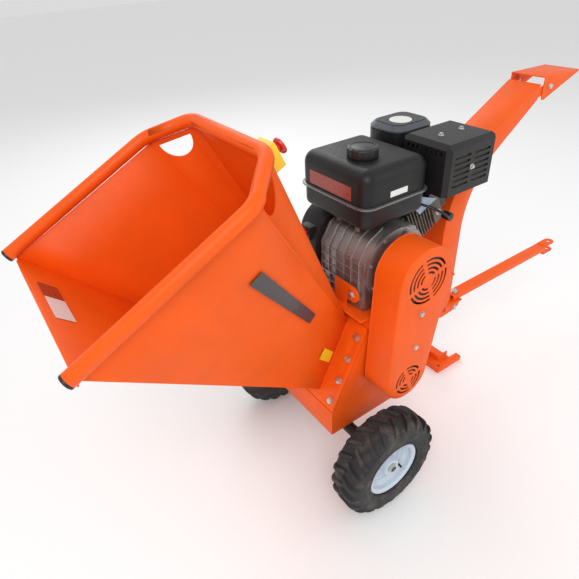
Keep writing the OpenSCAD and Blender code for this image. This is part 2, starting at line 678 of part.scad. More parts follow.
filter_at = [321, 76];
intake_at = [266, 46];      // axis of the pipe from the air cleaner down to the carburettor
module air_cleaner() color([0.1, 0.1, 0.11]) {
    translate([filter_at[0], filter_at[1], 0]) {
        difference() {
            translate([0, 0, 930]) linear_extrude(99) round_rect(154, 134, 40);
            translate([0, 0, 934]) linear_extrude(91) round_rect(146, 126, 36);
            translate([intake_at[0] - filter_at[0], intake_at[1] - filter_at[1], 900]) cylinder(r = 16, h = 40);
        }
        translate([0, 0, 1029]) linear_extrude(10) round_rect(148, 128, 38);
        translate([0, 0, 1039]) linear_extrude(10) round_rect(126, 106, 30);
        translate([-11, -10, 1049]) cylinder(r = 32, h = 2);
    }
    translate([intake_at[0], intake_at[1], 0]) difference() {
        translate([0, 0, 905]) cylinder(r = 21, h = 25);
        translate([0, 0, 900]) cylinder(r = 16, h = 40);
    }
}

module carburettor() color([0.62, 0.64, 0.67]) translate([intake_at[0], intake_at[1], 0]) {
    translate([0, 20, 891]) rotate([90, 0, 0]) cylinder(r = 13, h = 40);
    translate([-4, 14, 861]) cube([8, 14, 20]);
    translate([0, 0, 882]) cylinder(r = 16, h = 23);
    translate([0, 0, 874]) cylinder(r = 21, h = 8);
}

guard_x0 = 240;
guard_x1 = 431;
guard_y0 = -175;
guard_y1 = -9;
guard_z0 = 906;
guard_z1 = 1044;
module muffler() color([0.3, 0.29, 0.28]) difference() {
    union() {
        translate([guard_x0 + 16, -92, 978]) rotate([0, 90, 0]) cylinder(r = 54, h = guard_x1 - guard_x0 - 32);
        on_cylinder() translate([220, -40, 56]) cylinder(r = 15, h = 70);
        for (x = [300, 380]) translate([x, -92, 1024]) cylinder(r = 6, h = guard_z1 - 2 - 1024);
    }
    translate([guard_x0 + 18, -92, 978]) rotate([0, 90, 0]) cylinder(r = 52, h = guard_x1 - guard_x0 - 36);
    on_cylinder() translate([220, -40, 50]) cylinder(r = 12, h = 90);
    translate([guard_x1 - 30, -92, 978]) rotate([0, 90, 0]) cylinder(r = 12, h = 40);
}

module muffler_guard() color([0.08, 0.08, 0.08]) difference() {
    translate([guard_x0, guard_y0, guard_z0]) cube([guard_x1 - guard_x0, guard_y1 - guard_y0, guard_z1 - guard_z0]);
    translate([guard_x0 + 2, guard_y0 + 2, guard_z0 - 1])
        cube([guard_x1 - guard_x0 - 4, guard_y1 - guard_y0 - 4, guard_z1 - guard_z0 - 1]);
    for (col = [0, 1], row = [0 : 5]) translate([guard_x0 + 24 + col * 78, guard_y0 - 1, guard_z0 + 22 + row * 16])
        cube([62, 4, 7]);
    for (k = [0 : 7]) translate([guard_x0 - 1, guard_y0 + 24 + k * 16, guard_z0 + 46]) cube([4, 6, 60]);
}

switch_z = crank_z + 46;
switch_y = 112;
module fan_shroud() color([0.1, 0.1, 0.11]) difference() {
    union() {
        rod_y(crank_x, crank_z, 128, case_y1, 148);
        xz(case_y1, 148) polygon([[crank_x, crank_z + 128], [330, crank_z + 128], [330, crank_z + 40], [crank_x + 90, crank_z - 90]]);
        translate([-6, switch_y - 20, switch_z - 20]) cube([34, 40, 40]);
    }
    rod_y(crank_x, crank_z, 122, case_y1 + 4, 144);
    xz(case_y1 + 4, 144) polygon([[crank_x, crank_z + 122], [325, crank_z + 122], [325, crank_z + 46], [crank_x + 80, crank_z - 80]]);
    rod_y(crank_x, crank_z, 30, case_y1 - 1, case_y1 + 5);
    rod_y(crank_x, crank_z, 80, 140, 160);
    translate([-7, switch_y, switch_z]) rotate([0, 90, 0]) cylinder(r = 6 + fit, h = 9);
}

module flywheel() color([0.5, 0.5, 0.52]) {
    ring_y(crank_x, crank_z, 100, shaft_r, 90, 114);
    for (a = [0 : 30 : 330]) translate([crank_x, 114, crank_z]) rotate([0, a, 0]) translate([50, 0, -2]) cube([46, 20, 4]);
}

module recoil_cover() color([0.12, 0.12, 0.13]) difference() {
    union() {
        rod_y(crank_x, crank_z, 104, 148, 156);
        rod_y(crank_x, crank_z, 92, 156, 196);
        translate([crank_x - 12, 150, crank_z + 84]) cube([24, 40, 28]);
    }
    rod_y(crank_x, crank_z, 86, 147, 192);
    for (a = [30 : 40 : 330]) translate([crank_x, 180, crank_z]) rotate([0, a, 0]) translate([44, 0, -6]) cube([32, 30, 12]);
}

module recoil_grip() color([0.05, 0.05, 0.05]) translate([crank_x, 190 + gap, crank_z + 101]) {
    rotate([-90, 0, 0]) cylinder(r = 8, h = 12);
    translate([-42, 12, -9]) cube([84, 18, 18]);
}

module engine_switch() color("red") translate([-6 - gap, switch_y, switch_z]) rotate([0, -90, 0]) {
    translate([0, 0, -6]) cylinder(r = 6, h = 6);
    cylinder(r = 12, h = 5);
    translate([-11, -3, 5]) cube([22, 6, 9]);
}

throttle_at = [crank_x - 70, 148 + gap, crank_z + 92];
module throttle_lever() color([0.05, 0.05, 0.05]) translate(throttle_at) {
    rotate([-90, 0, 0]) cylinder(r = 9, h = 3);
    rotate([0, -60, 0]) translate([0, 0, -4]) cube([52, 3, 8]);
}

// ---- chute ----

// Rear and front walls as arcs that start upright and end at their own slopes
rear_bend_r = 298;
rear_turn = 53.4;
front_bend_r = 342.5;
front_turn = 62.6;
rear_end = [784, 1039];
front_end = [787, 1085];
function rear_wall(inset) = concat(
    [[casing_rear, 258 + inset], [420 - 0.6 * inset, 290 + 0.8 * inset], [chute_x - inset, 400]],
    arc_points([chute_x + rear_bend_r, chute_bend_z], rear_bend_r + inset, 180, 180 - rear_turn, 14),
    [rear_end + inset * [-0.6, 0.8]]);
function front_wall(inset) = concat([front_end + inset * [0.46, -0.89]],
    arc_points([chute_x - chute_d + front_bend_r, chute_bend_z], front_bend_r - inset, 180 - front_turn, 180, 16),
    [[chute_x - chute_d + inset, 425], [390 + inset, 386 - inset], [casing_rear, 372 - inset]]);
module chute_outline(inset) polygon(concat(rear_wall(inset), front_wall(inset)));

ear_x = 831;
ear_z = 1073;
// Both flat side sheets, with the ears that carry the deflector
module chute_sides() color(orange) for (side = [-1, 1]) difference() {
    y0 = side < 0 ? -chute_w / 2 : chute_w / 2 - chute_t;
    xz(y0, y0 + chute_t) {
        chute_outline(0);
        translate([ear_x, ear_z]) circle(14);
        polygon([[772, 1040], [772, 1070], [ear_x, ear_z + 14], [ear_x, ear_z - 14]]);
    }
    rod_y(ear_x, ear_z, 4 + fit, -100, 100);
}

// The bent sheets between the sides
chute_inner = chute_w / 2 - chute_t;
function reversed(list) = [for (i = [len(list) - 1 : -1 : 0]) list[i]];
module chute_walls() color(orange) xz(-chute_inner, chute_inner) {
    polygon(concat(rear_wall(0), reversed(rear_wall(chute_t))));
    polygon(concat(front_wall(0), reversed(front_wall(chute_t))));
}

module chute_flange() color(orange) difference() {
    translate([casing_rear, -chute_flange_w / 2, 248]) cube([flange_t, chute_flange_w, 134]);
    xz(-chute_w / 2, chute_w / 2) chute_outline(-0.2);
    for (p = chute_bolt_places) translate([casing_rear - 1, p[0], p[1]]) rotate([0, 90, 0]) cylinder(r = 4.4, h = 20);
}

hood_y = chute_w / 2 + gap;
module deflector() color(orange) difference() {
    union() {
        xz(-hood_y - chute_t, hood_y + chute_t) polygon([[799, 1104], [984, 1100], [984, 1097], [799, 1101]]);
        for (side = [-1, 1]) {
            y0 = side < 0 ? -hood_y - chute_t : hood_y;
            xz(y0, y0 + chute_t) polygon([[799, 1102], [984, 1098], [982, 1094], [812, 1034], [803, 1036], [799, 1050]]);
        }
    }
    rod_y(ear_x, ear_z, 4 + fit, -100, 100);
}

// ---- chassis ----

axle_z = tyre_r;
hub_half = 38;
hub_in = wheel_y - hub_half - gap;
hub_out = wheel_y + 46;
module axle() color([0.1, 0.1, 0.1]) {
    rod_y(axle_x, axle_z, 19, -hub_in, hub_in);
    rod_y(axle_x, axle_z, axle_r, -hub_out, -hub_in);
    rod_y(axle_x, axle_z, axle_r, hub_in, hub_out);
    for (side = [-1, 1]) translate([axle_x - 30, side * 110 - 20, axle_z + 12]) difference() {
        cube([60, 40, casing_z - axle_z - 12]);
        translate([30, -1, -12]) rotate([-90, 0, 0]) cylinder(r = 19, h = 42);
    }
}

// Half of a profile listed from the tyre's side to its middle, mirrored across the middle
function both_sides(half) = concat(half, [for (i = [len(half) - 1 : -1 : 0]) [half[i][0], -half[i][1]]]);

module tyre(side) color([0.09, 0.09, 0.09]) translate([axle_x, side * wheel_y, axle_z]) rotate([-90, 0, 0])
    rotate_extrude($fn = 96) {
        side_w = tyre_w / 2;
        bead = rim_flange_r - 9.5;
        difference() {
            polygon(both_sides([[bead, -40.7], [rim_flange_r + 0.5, -40.7], [rim_flange_r + 0.5, -side_w + 6],
                [120, -side_w], [146, -side_w], [tyre_r - 6, -side_w + 13], [tyre_r, -side_w + 24]]));
            polygon(both_sides([[0, -30], [rim_flange_r, -30], [rim_flange_r + 14, -side_w + 14],
                [144, -side_w + 14], [tyre_r - 16, -24]]));
        }
    }
module tyre_near() tyre(-1);
module tyre_far() tyre(1);

// Rolled rim with a dished disc and a hub tube that runs on the axle
module wheel(side) color([0.85, 0.87, 0.9]) translate([axle_x, side * wheel_y, axle_z]) rotate([-side * 90, 0, 0]) {
    rotate_extrude($fn = 96) {
        f = rim_flange_r;
        difference() {
            polygon(both_sides([[f, 44], [f - 13, 44], [f - 13, 20.5], [f - 24, 14.5]]));
            polygon(both_sides([[f + 1, 41], [f - 10, 41], [f - 10, 22], [f - 21, 16]]));
        }
        polygon([[27, 10], [f - 23, 14], [f - 23, 10], [27, 6]]);
    }
    difference() {
        cylinder(r = 28, h = 2 * hub_half, center = true);
        cylinder(r = axle_r + fit, h = 2 * hub_half + 4, center = true);
    }
}
module wheel_near() wheel(-1);
module wheel_far() wheel(1);

module axle_nuts() color(steel) for (side = [-1, 1]) translate([axle_x, side * (wheel_y + hub_half + gap), axle_z])
    rotate([-side * 90, 0, 0]) difference() {
        union() {
            cylinder(r = 15, h = 2.5);
            translate([0, 0, 2.5]) hex_head(24, 5);
        }
        translate([0, 0, -1]) cylinder(r = axle_r, h = 20);
    }

// ---- tow bar and rear leg ----

hitch_gap = 30;
prong_t = 6;
hitch_top = bar_top + 2;
bar_end = hitch_x - 75;
module tow_bar() color(orange) difference() {
    translate([pivot_x - 24, -bar_w / 2, bar_z + gap]) cube([bar_end - pivot_x + 24, bar_w, bar_h - gap]);
    translate([pivot_x - 30, -bar_w / 2 + 2.5, bar_z + gap + 2.5]) cube([bar_end - pivot_x + 60, bar_w - 5, bar_h - gap - 5]);
    translate([pivot_x, 0, bar_z - 5]) cylinder(r = 6 + fit, h = 40);
}

module hitch_prong(z) difference() {
    translate([bar_end, 0, z]) linear_extrude(prong_t) {
        translate([0, -bar_w / 2]) square([75 - bar_w / 2, bar_w]);
        translate([75 - bar_w / 2, 0]) circle(bar_w / 2);
    }
    translate([hitch_x - bar_w / 2 - 2, 0, z - 1]) cylinder(r = hitch_r, h = prong_t + 2);
}

module hitch_clevis() color(orange) {
    hitch_prong(hitch_top - prong_t);
    hitch_prong(hitch_top - 2 * prong_t - hitch_gap);
    translate([bar_end, -bar_w / 2, hitch_top - prong_t - hitch_gap]) cube([prong_t, bar_w, hitch_gap]);
}

lug_z = 322;
// A point on the sloping outer face of the chute's elbow
function elbow_wall(z) = [420 + (z - 290) * (chute_x - 420) / 110, z];
module tow_bracket() color(orange) difference() {
    union() {
        translate([chute_x, -45, bar_z - 6]) cube([6, 90, 102]);
        translate([chute_x + 6, -30, bar_z - 6]) cube([pivot_x + 14 - chute_x - 6, 60, 6]);
        for (y = [-30, 24]) xz(y, y + 6) {
            polygon([elbow_wall(310), elbow_wall(400), [chute_x + 6, 400], [chute_x + 6, bar_z - 6],
                [pivot_x, bar_z - 6], [pivot_x - 8, lug_z - 8], [pivot_x - 42, lug_z - 18],
                [chute_x + 6, lug_z - 22]]);
        }
        translate([528, 24, lug_z - 22]) cube([40, 62, 8]);
    }
    translate([pivot_x, 0, bar_z - 10]) cylinder(r = 6, h = 12);
    rod_y(pivot_x - 32, lug_z - 3, 5, -60, 60);
}

module tow_bolts() color(steel) {
    translate([pivot_x, 0, bar_top + gap]) bolt(6, bar_top + gap - bar_z + 6);
    translate([pivot_x, 0, bar_z - 6]) rotate([180, 0, 0]) hex_head(18, 8);
    translate([pivot_x - 32, -30, lug_z - 3]) rotate([90, 0, 0]) bolt(5, 60);
    translate([pivot_x - 32, 30, lug_z - 3]) rotate([-90, 0, 0]) hex_head(16, 7);
}

module rear_leg() color(orange) difference() {
    translate([528, 46, 20]) cube([40, 40, lug_z - 22 - 20]);
    translate([530.5, 48.5, 15]) cube([35, 35, 400]);
}

module rear_foot() color(orange) {
    difference() {
        union() {
            translate([530, -35, 15]) cube([95, 125, 5]);
            translate([530, -35, 15]) cube([138, 25, 5]);
        }
        translate([550, -18, 10]) cylinder(r = 5.5, h = 20);
    }
    translate([530, -35, 0]) cube([5, 125, 15]);
    translate([535, -35, 0]) cube([133, 5, 15]);
    translate([535, 85, 0]) cube([90, 5, 15]);
    translate([571, 4, 20]) cube([5, 86, 22]);
    translate([576, 4, 20]) cube([49, 5, 22]);
}

// ---- output ----

placed() hopper_floor();
placed() hopper_sides();
placed() hopper_roof();
placed() hopper_corners();
placed() rim_tube();
placed() rim_caps();
placed() hopper_flange();
placed() large_bolts();
placed() small_bolts();
placed() estop_box();
placed() estop_button();
placed() casing_sides();
placed() casing_shell();
placed() rotor_liner();
placed() intake_plate();
placed() anvil_knife();
placed() engine_plate();
placed() rotor_bearings();
placed() rotor_shaft();
placed() rotor_drum();
placed() rotor_knives();
placed() rotor_pulley();
placed() drive_belts();
placed() belt_guard();
placed() guard_back();
placed() crankshaft();
placed() clutch_pulley();
placed() flywheel();
placed() crankcase();
placed() crankcase_cover();
placed() cylinder_block();  // cylinder
placed() valve_cover();
placed() spark_plug();
placed() fuel_tank();
placed() tank_cap();
placed() air_cleaner();
placed() carburettor();
placed() muffler();
placed() muffler_guard();
placed() fan_shroud();
placed() recoil_cover();
placed() recoil_grip();
placed() engine_switch();
placed() throttle_lever();
placed() chute_sides();
placed() chute_walls();
placed() chute_flange();
placed() deflector();
placed() axle();
placed() tyre_near();
placed() tyre_far();
placed() wheel_near();
placed() wheel_far();
placed() axle_nuts();
placed() tow_bar();
placed() hitch_clevis();
placed() tow_bracket();
placed() tow_bolts();
placed() rear_leg();
placed() rear_foot();
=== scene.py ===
"""Looks of a towable petrol wood chipper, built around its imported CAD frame.

Lengths are in metres unless a name ends in _mm. Each sub-assembly is a class that holds its sizes,
models its pieces with edit-mode operators and dresses them in the machine's finishes.
"""
import json
import logging
import math
from dataclasses import dataclass
from enum import Enum
from typing import Callable, Dict, List, Optional, Sequence, Tuple

import bpy
from mathutils import Matrix, Vector

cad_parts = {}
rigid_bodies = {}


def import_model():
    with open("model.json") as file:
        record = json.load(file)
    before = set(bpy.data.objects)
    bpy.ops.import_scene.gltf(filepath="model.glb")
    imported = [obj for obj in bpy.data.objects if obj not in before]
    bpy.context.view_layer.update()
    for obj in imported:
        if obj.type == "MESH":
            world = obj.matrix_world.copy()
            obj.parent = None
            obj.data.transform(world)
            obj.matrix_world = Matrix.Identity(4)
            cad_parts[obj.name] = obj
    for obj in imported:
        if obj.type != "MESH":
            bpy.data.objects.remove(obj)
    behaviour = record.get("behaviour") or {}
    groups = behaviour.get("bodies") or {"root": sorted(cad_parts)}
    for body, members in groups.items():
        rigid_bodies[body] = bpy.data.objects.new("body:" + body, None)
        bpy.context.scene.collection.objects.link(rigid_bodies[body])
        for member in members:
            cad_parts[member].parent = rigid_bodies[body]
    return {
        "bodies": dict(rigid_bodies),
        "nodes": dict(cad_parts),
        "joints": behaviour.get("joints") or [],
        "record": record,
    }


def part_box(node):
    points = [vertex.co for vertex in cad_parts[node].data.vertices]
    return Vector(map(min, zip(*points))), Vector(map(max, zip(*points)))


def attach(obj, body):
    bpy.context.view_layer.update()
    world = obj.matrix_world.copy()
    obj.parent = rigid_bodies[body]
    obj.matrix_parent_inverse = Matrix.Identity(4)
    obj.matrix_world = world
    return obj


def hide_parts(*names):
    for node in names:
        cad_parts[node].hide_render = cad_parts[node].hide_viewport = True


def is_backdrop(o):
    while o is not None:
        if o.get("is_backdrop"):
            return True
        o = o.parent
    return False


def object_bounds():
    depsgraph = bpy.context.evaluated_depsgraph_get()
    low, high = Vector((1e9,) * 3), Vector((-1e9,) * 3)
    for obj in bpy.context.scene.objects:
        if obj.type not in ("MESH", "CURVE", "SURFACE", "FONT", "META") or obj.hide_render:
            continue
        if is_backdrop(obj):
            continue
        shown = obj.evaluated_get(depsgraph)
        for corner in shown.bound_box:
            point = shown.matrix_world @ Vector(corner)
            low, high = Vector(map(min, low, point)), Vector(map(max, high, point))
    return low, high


LOG = logging.getLogger("chipper")
X_SHIFT_MM = -236.445
MM = 0.001
MERGE = 1e-5

Colour = Tuple[float, float, float]
Point = Sequence[float]
Outline = List[Tuple[float, float]]


def at(x: float, y: float, z: float) -> Vector:
    """Turns a place in machine millimetres into the frame's metres."""
    return Vector(((x + X_SHIFT_MM) * MM, y * MM, z * MM))


class Grain(Enum):
    """Surface texture of a finish."""

    PEEL = "orange peel of sprayed paint"
    CAST = "sand-cast skin"
    BRUSHED = "ground metal"
    MOULDED = "moulded plastic"
    RUBBER = "tyre rubber"


@dataclass(frozen=True)
class Finish:
    """One finish of the machine: its colour, gloss, texture and weathering."""

    slot: str
    colour: Colour
    roughness: float
    metallic: float = 0.0
    grain: Grain = Grain.PEEL
    grain_mm: float = 1.6
    bump: float = 0.12
    mottle: float = 0.1
    dust: float = 0.0
    coat: float = 0.0
    specular: float = 0.5
    label: str = ""

    def material(self) -> bpy.types.Material:
        """Returns this finish's material, building it on first use."""
        name = self.label or self.slot
        return bpy.data.materials.get("finish_" + name) or self._build("finish_" + name)

    def _build(self, name: str) -> bpy.types.Material:
        """Builds the node tree.

        Args:
            name: the material's name.

        Returns:
            The new material.
        """
        mat = bpy.data.materials.new(name)
        mat.use_nodes = True
        tree = mat.node_tree
        shader = tree.nodes["Principled BSDF"]
        shader.inputs["Metallic"].default_value = self.metallic
        shader.inputs["Coat Weight"].default_value = self.coat
        shader.inputs["Coat Roughness"].default_value = 0.12
        shader.inputs["Specular IOR Level"].default_value = self.specular
        coords = tree.nodes.new("ShaderNodeTexCoord").outputs["Object"]
        if self.grain is Grain.BRUSHED:
            stretch = tree.nodes.new("ShaderNodeMapping")
            stretch.inputs["Scale"].default_value = (0.12, 1.0, 1.0)
            tree.links.new(coords, stretch.inputs["Vector"])
            fine_coords = stretch.outputs["Vector"]
        else:
            fine_coords = coords
        fine = self._noise(tree, fine_coords, 1.0 / (self.grain_mm * MM), 3.0)
        broad = self._noise(tree, coords, 9.0, 5.0)
        speck = self._noise(tree, coords, 160.0, 4.0)
        base = self._blend(tree, broad, self._shade(1.0 - self.mottle), self._shade(1.0 + self.mottle), 0.35,
                           0.65)
        if self.grain in (Grain.CAST, Grain.RUBBER, Grain.BRUSHED):
            base = self._tint(tree, speck, base, self._shade(0.72), 0.5, 0.72, 0.5)
        if self.dust:
            base = self._dusted(tree, coords, base)
        tree.links.new(base, shader.inputs["Base Color"])
        rough = tree.nodes.new("ShaderNodeMapRange")
        rough.inputs["From Min"].default_value = 0.3
        rough.inputs["From Max"].default_value = 0.7
        rough.inputs["To Min"].default_value = max(0.05, self.roughness - 0.07)
        rough.inputs["To Max"].default_value = min(1.0, self.roughness + 0.09)
        tree.links.new(speck, rough.inputs["Value"])
        tree.links.new(rough.outputs["Result"], shader.inputs["Roughness"])
        bump = tree.nodes.new("ShaderNodeBump")
        bump.inputs["Strength"].default_value = self.bump
        bump.inputs["Distance"].default_value = 0.001
        tree.links.new(fine, bump.inputs["Height"])
        tree.links.new(bump.outputs["Normal"], shader.inputs["Normal"])
        return mat

    def _shade(self, k: float) -> Tuple[float, float, float, float]:
        """Returns the finish's colour, made lighter or darker."""
        return tuple(min(1.0, c * k) for c in self.colour) + (1.0,)

    @staticmethod
    def _noise(tree: bpy.types.NodeTree, coords: bpy.types.NodeSocket, scale: float,
               detail: float) -> bpy.types.NodeSocket:
        """Adds a noise texture and returns its value."""
        node = tree.nodes.new("ShaderNodeTexNoise")
        node.inputs["Scale"].default_value = scale
        node.inputs["Detail"].default_value = detail
        tree.links.new(coords, node.inputs["Vector"])
        return node.outputs["Fac"]

    @staticmethod
    def _blend(tree: bpy.types.NodeTree, value: bpy.types.NodeSocket, low: Sequence[float],
               high: Sequence[float],
               start: float, stop: float) -> bpy.types.NodeSocket:
        """Adds a ramp from one colour to another and returns its colour."""
        ramp = tree.nodes.new("ShaderNodeValToRGB")
        ramp.color_ramp.elements[0].position = start
        ramp.color_ramp.elements[0].color = low
        ramp.color_ramp.elements[1].position = stop
        ramp.color_ramp.elements[1].color = high
        tree.links.new(value, ramp.inputs["Fac"])
        return ramp.outputs["Color"]

    @classmethod
    def _tint(cls, tree: bpy.types.NodeTree, value: bpy.types.NodeSocket, base: bpy.types.NodeSocket,
              tint: Sequence[float], start: float, stop: float, most: float) -> bpy.types.NodeSocket:
        """Mixes a tint over a colour where a value is high, and returns the colour."""
        amount = cls._blend(tree, value, (0, 0, 0, 1), (most, most, most, 1), start, stop)
        mix = tree.nodes.new("ShaderNodeMix")
        mix.data_type = "RGBA"
        tree.links.new(amount, mix.inputs[0])
        tree.links.new(base, mix.inputs[6])
        mix.inputs[7].default_value = tint
        return mix.outputs[2]

    def _dusted(self, tree: bpy.types.NodeTree, coords: bpy.types.NodeSocket,
                base: bpy.types.NodeSocket) -> bpy.types.NodeSocket:
        """Lays patchy pale dust over a colour, and returns the colour."""
        patches = self._noise(tree, coords, 22.0, 8.0)
        return self._tint(tree, patches, base, (0.42, 0.36, 0.3, 1.0), 0.48, 0.72, self.dust)


ORANGE = Finish("orange_paint", (0.86, 0.105, 0.004), 0.42, grain_mm=1.3, bump=0.09, mottle=0.04,
                specular=0.25)
PLASTIC = Finish("black_plastic", (0.012, 0.012, 0.013), 0.34, grain=Grain.MOULDED, grain_mm=0.7, bump=0.06,
                 mottle=0.12, dust=0.01, specular=0.45)
TYRE = Finish("tyre_rubber", (0.022, 0.022, 0.023), 0.74, grain=Grain.RUBBER, grain_mm=1.1, bump=0.2,
              mottle=0.2, dust=0.16)
RIM = Finish("rim_paint", (0.55, 0.62, 0.7), 0.36, grain_mm=1.6, bump=0.07, mottle=0.04, dust=0.08, coat=0.15)
ZINC = Finish("zinc_steel", (0.62, 0.61, 0.58), 0.34, 0.9, Grain.BRUSHED, 0.6, 0.1, 0.1)
ALUMINIUM = Finish("cast_aluminium", (0.33, 0.31, 0.3), 0.42, 0.85, Grain.CAST, 1.2, 0.28, 0.1, 0.05)
BLACK = Finish("black_steel", (0.009, 0.009, 0.01), 0.38, grain_mm=0.9, bump=0.06, mottle=0.1, dust=0.01,
               specular=0.35)
SATIN = Finish("satin_black", (0.012, 0.012, 0.013), 0.4, grain_mm=1.2, bump=0.03, mottle=0.06, dust=0.01,
               specular=0.28)
DARK = Finish("dark_steel", (0.17, 0.14, 0.12), 0.5, 0.8, Grain.CAST, 1.5, 0.15, 0.25)
IRON = Finish("cast_iron_grey", (0.13, 0.135, 0.14), 0.55, 0.6, Grain.CAST, 1.2, 0.3, 0.12)
TOOL = Finish("tool_steel", (0.42, 0.42, 0.42), 0.32, 0.95, Grain.BRUSHED, 0.5, 0.12, 0.1)
RED = Finish("red_plastic", (0.6, 0.008, 0.006), 0.25, grain=Grain.MOULDED, grain_mm=1.2, bump=0.04,
             mottle=0.04, coat=0.3)
YELLOW = Finish("yellow_plastic", (0.9, 0.55, 0.012), 0.35, grain=Grain.MOULDED, grain_mm=1.0, bump=0.06,
                mottle=0.04)
CERAMIC = Finish("white_ceramic", (0.8, 0.79, 0.75), 0.2, grain=Grain.MOULDED, grain_mm=1.5, bump=0.03,
                 mottle=0.03)
BELT = Finish("belt_rubber", (0.03, 0.03, 0.03), 0.75, grain=Grain.RUBBER, grain_mm=0.9, bump=0.25,
              mottle=0.2)
PANEL_RUST = Finish("black_plastic", (0.3, 0.035, 0.015), 0.3, grain_mm=2.0, bump=0.03, mottle=0.05, coat=0.3,
                    label="rust_panel")
PANEL_WHITE = Finish("black_plastic", (0.75, 0.75, 0.73), 0.32, grain_mm=2.0, bump=0.03, mottle=0.03,
                     coat=0.3, label="white_panel")
PANEL_DARK = Finish("black_plastic", (0.03, 0.032, 0.036), 0.3, grain_mm=2.0, bump=0.03, mottle=0.05,
                    coat=0.3, label="dark_panel")
LID = Finish("black_plastic", (0.1, 0.11, 0.13), 0.32, 0.5, Grain.MOULDED, 0.8, 0.06, 0.05,
             label="filter_lid")
PANEL_YELLOW = Finish("yellow_plastic", (0.9, 0.6, 0.02), 0.35, grain_mm=2.0, bump=0.03, mottle=0.03,
                      label="yellow_panel")
SEAM = Finish("satin_black", (0.2, 0.2, 0.2), 0.3, 0.6, grain_mm=1.2, bump=0.03, mottle=0.06,
              label="tank_seam")
# Painted shade: cast aluminium darkened to brown-grey, standing in for the shade the fins sit in under the
# muffler guard.
FINS_PAINTED_SHADE = Finish("cast_aluminium", (0.17, 0.145, 0.125), 0.5, 0.7, Grain.CAST, 1.2, 0.2, 0.18,
              label="fins_painted_shade")
# Silver metal plate; its blue cast is a painted sheen, a sky reflection laid into the base colour.
SILVER_TRIM_PAINTED_SHEEN = Finish("cast_aluminium", (0.36, 0.43, 0.55), 0.34, 0.7, Grain.CAST, 1.0, 0.06, 0.05, label="silver_trim_painted_blue_sheen")
FINISHES: Dict[str, Finish] = {f.slot: f for f in (ORANGE, PLASTIC, TYRE, RIM, ZINC, ALUMINIUM, BLACK, SATIN,
                                                   DARK,
                                                     IRON, TOOL, RED, YELLOW, CERAMIC, BELT)}


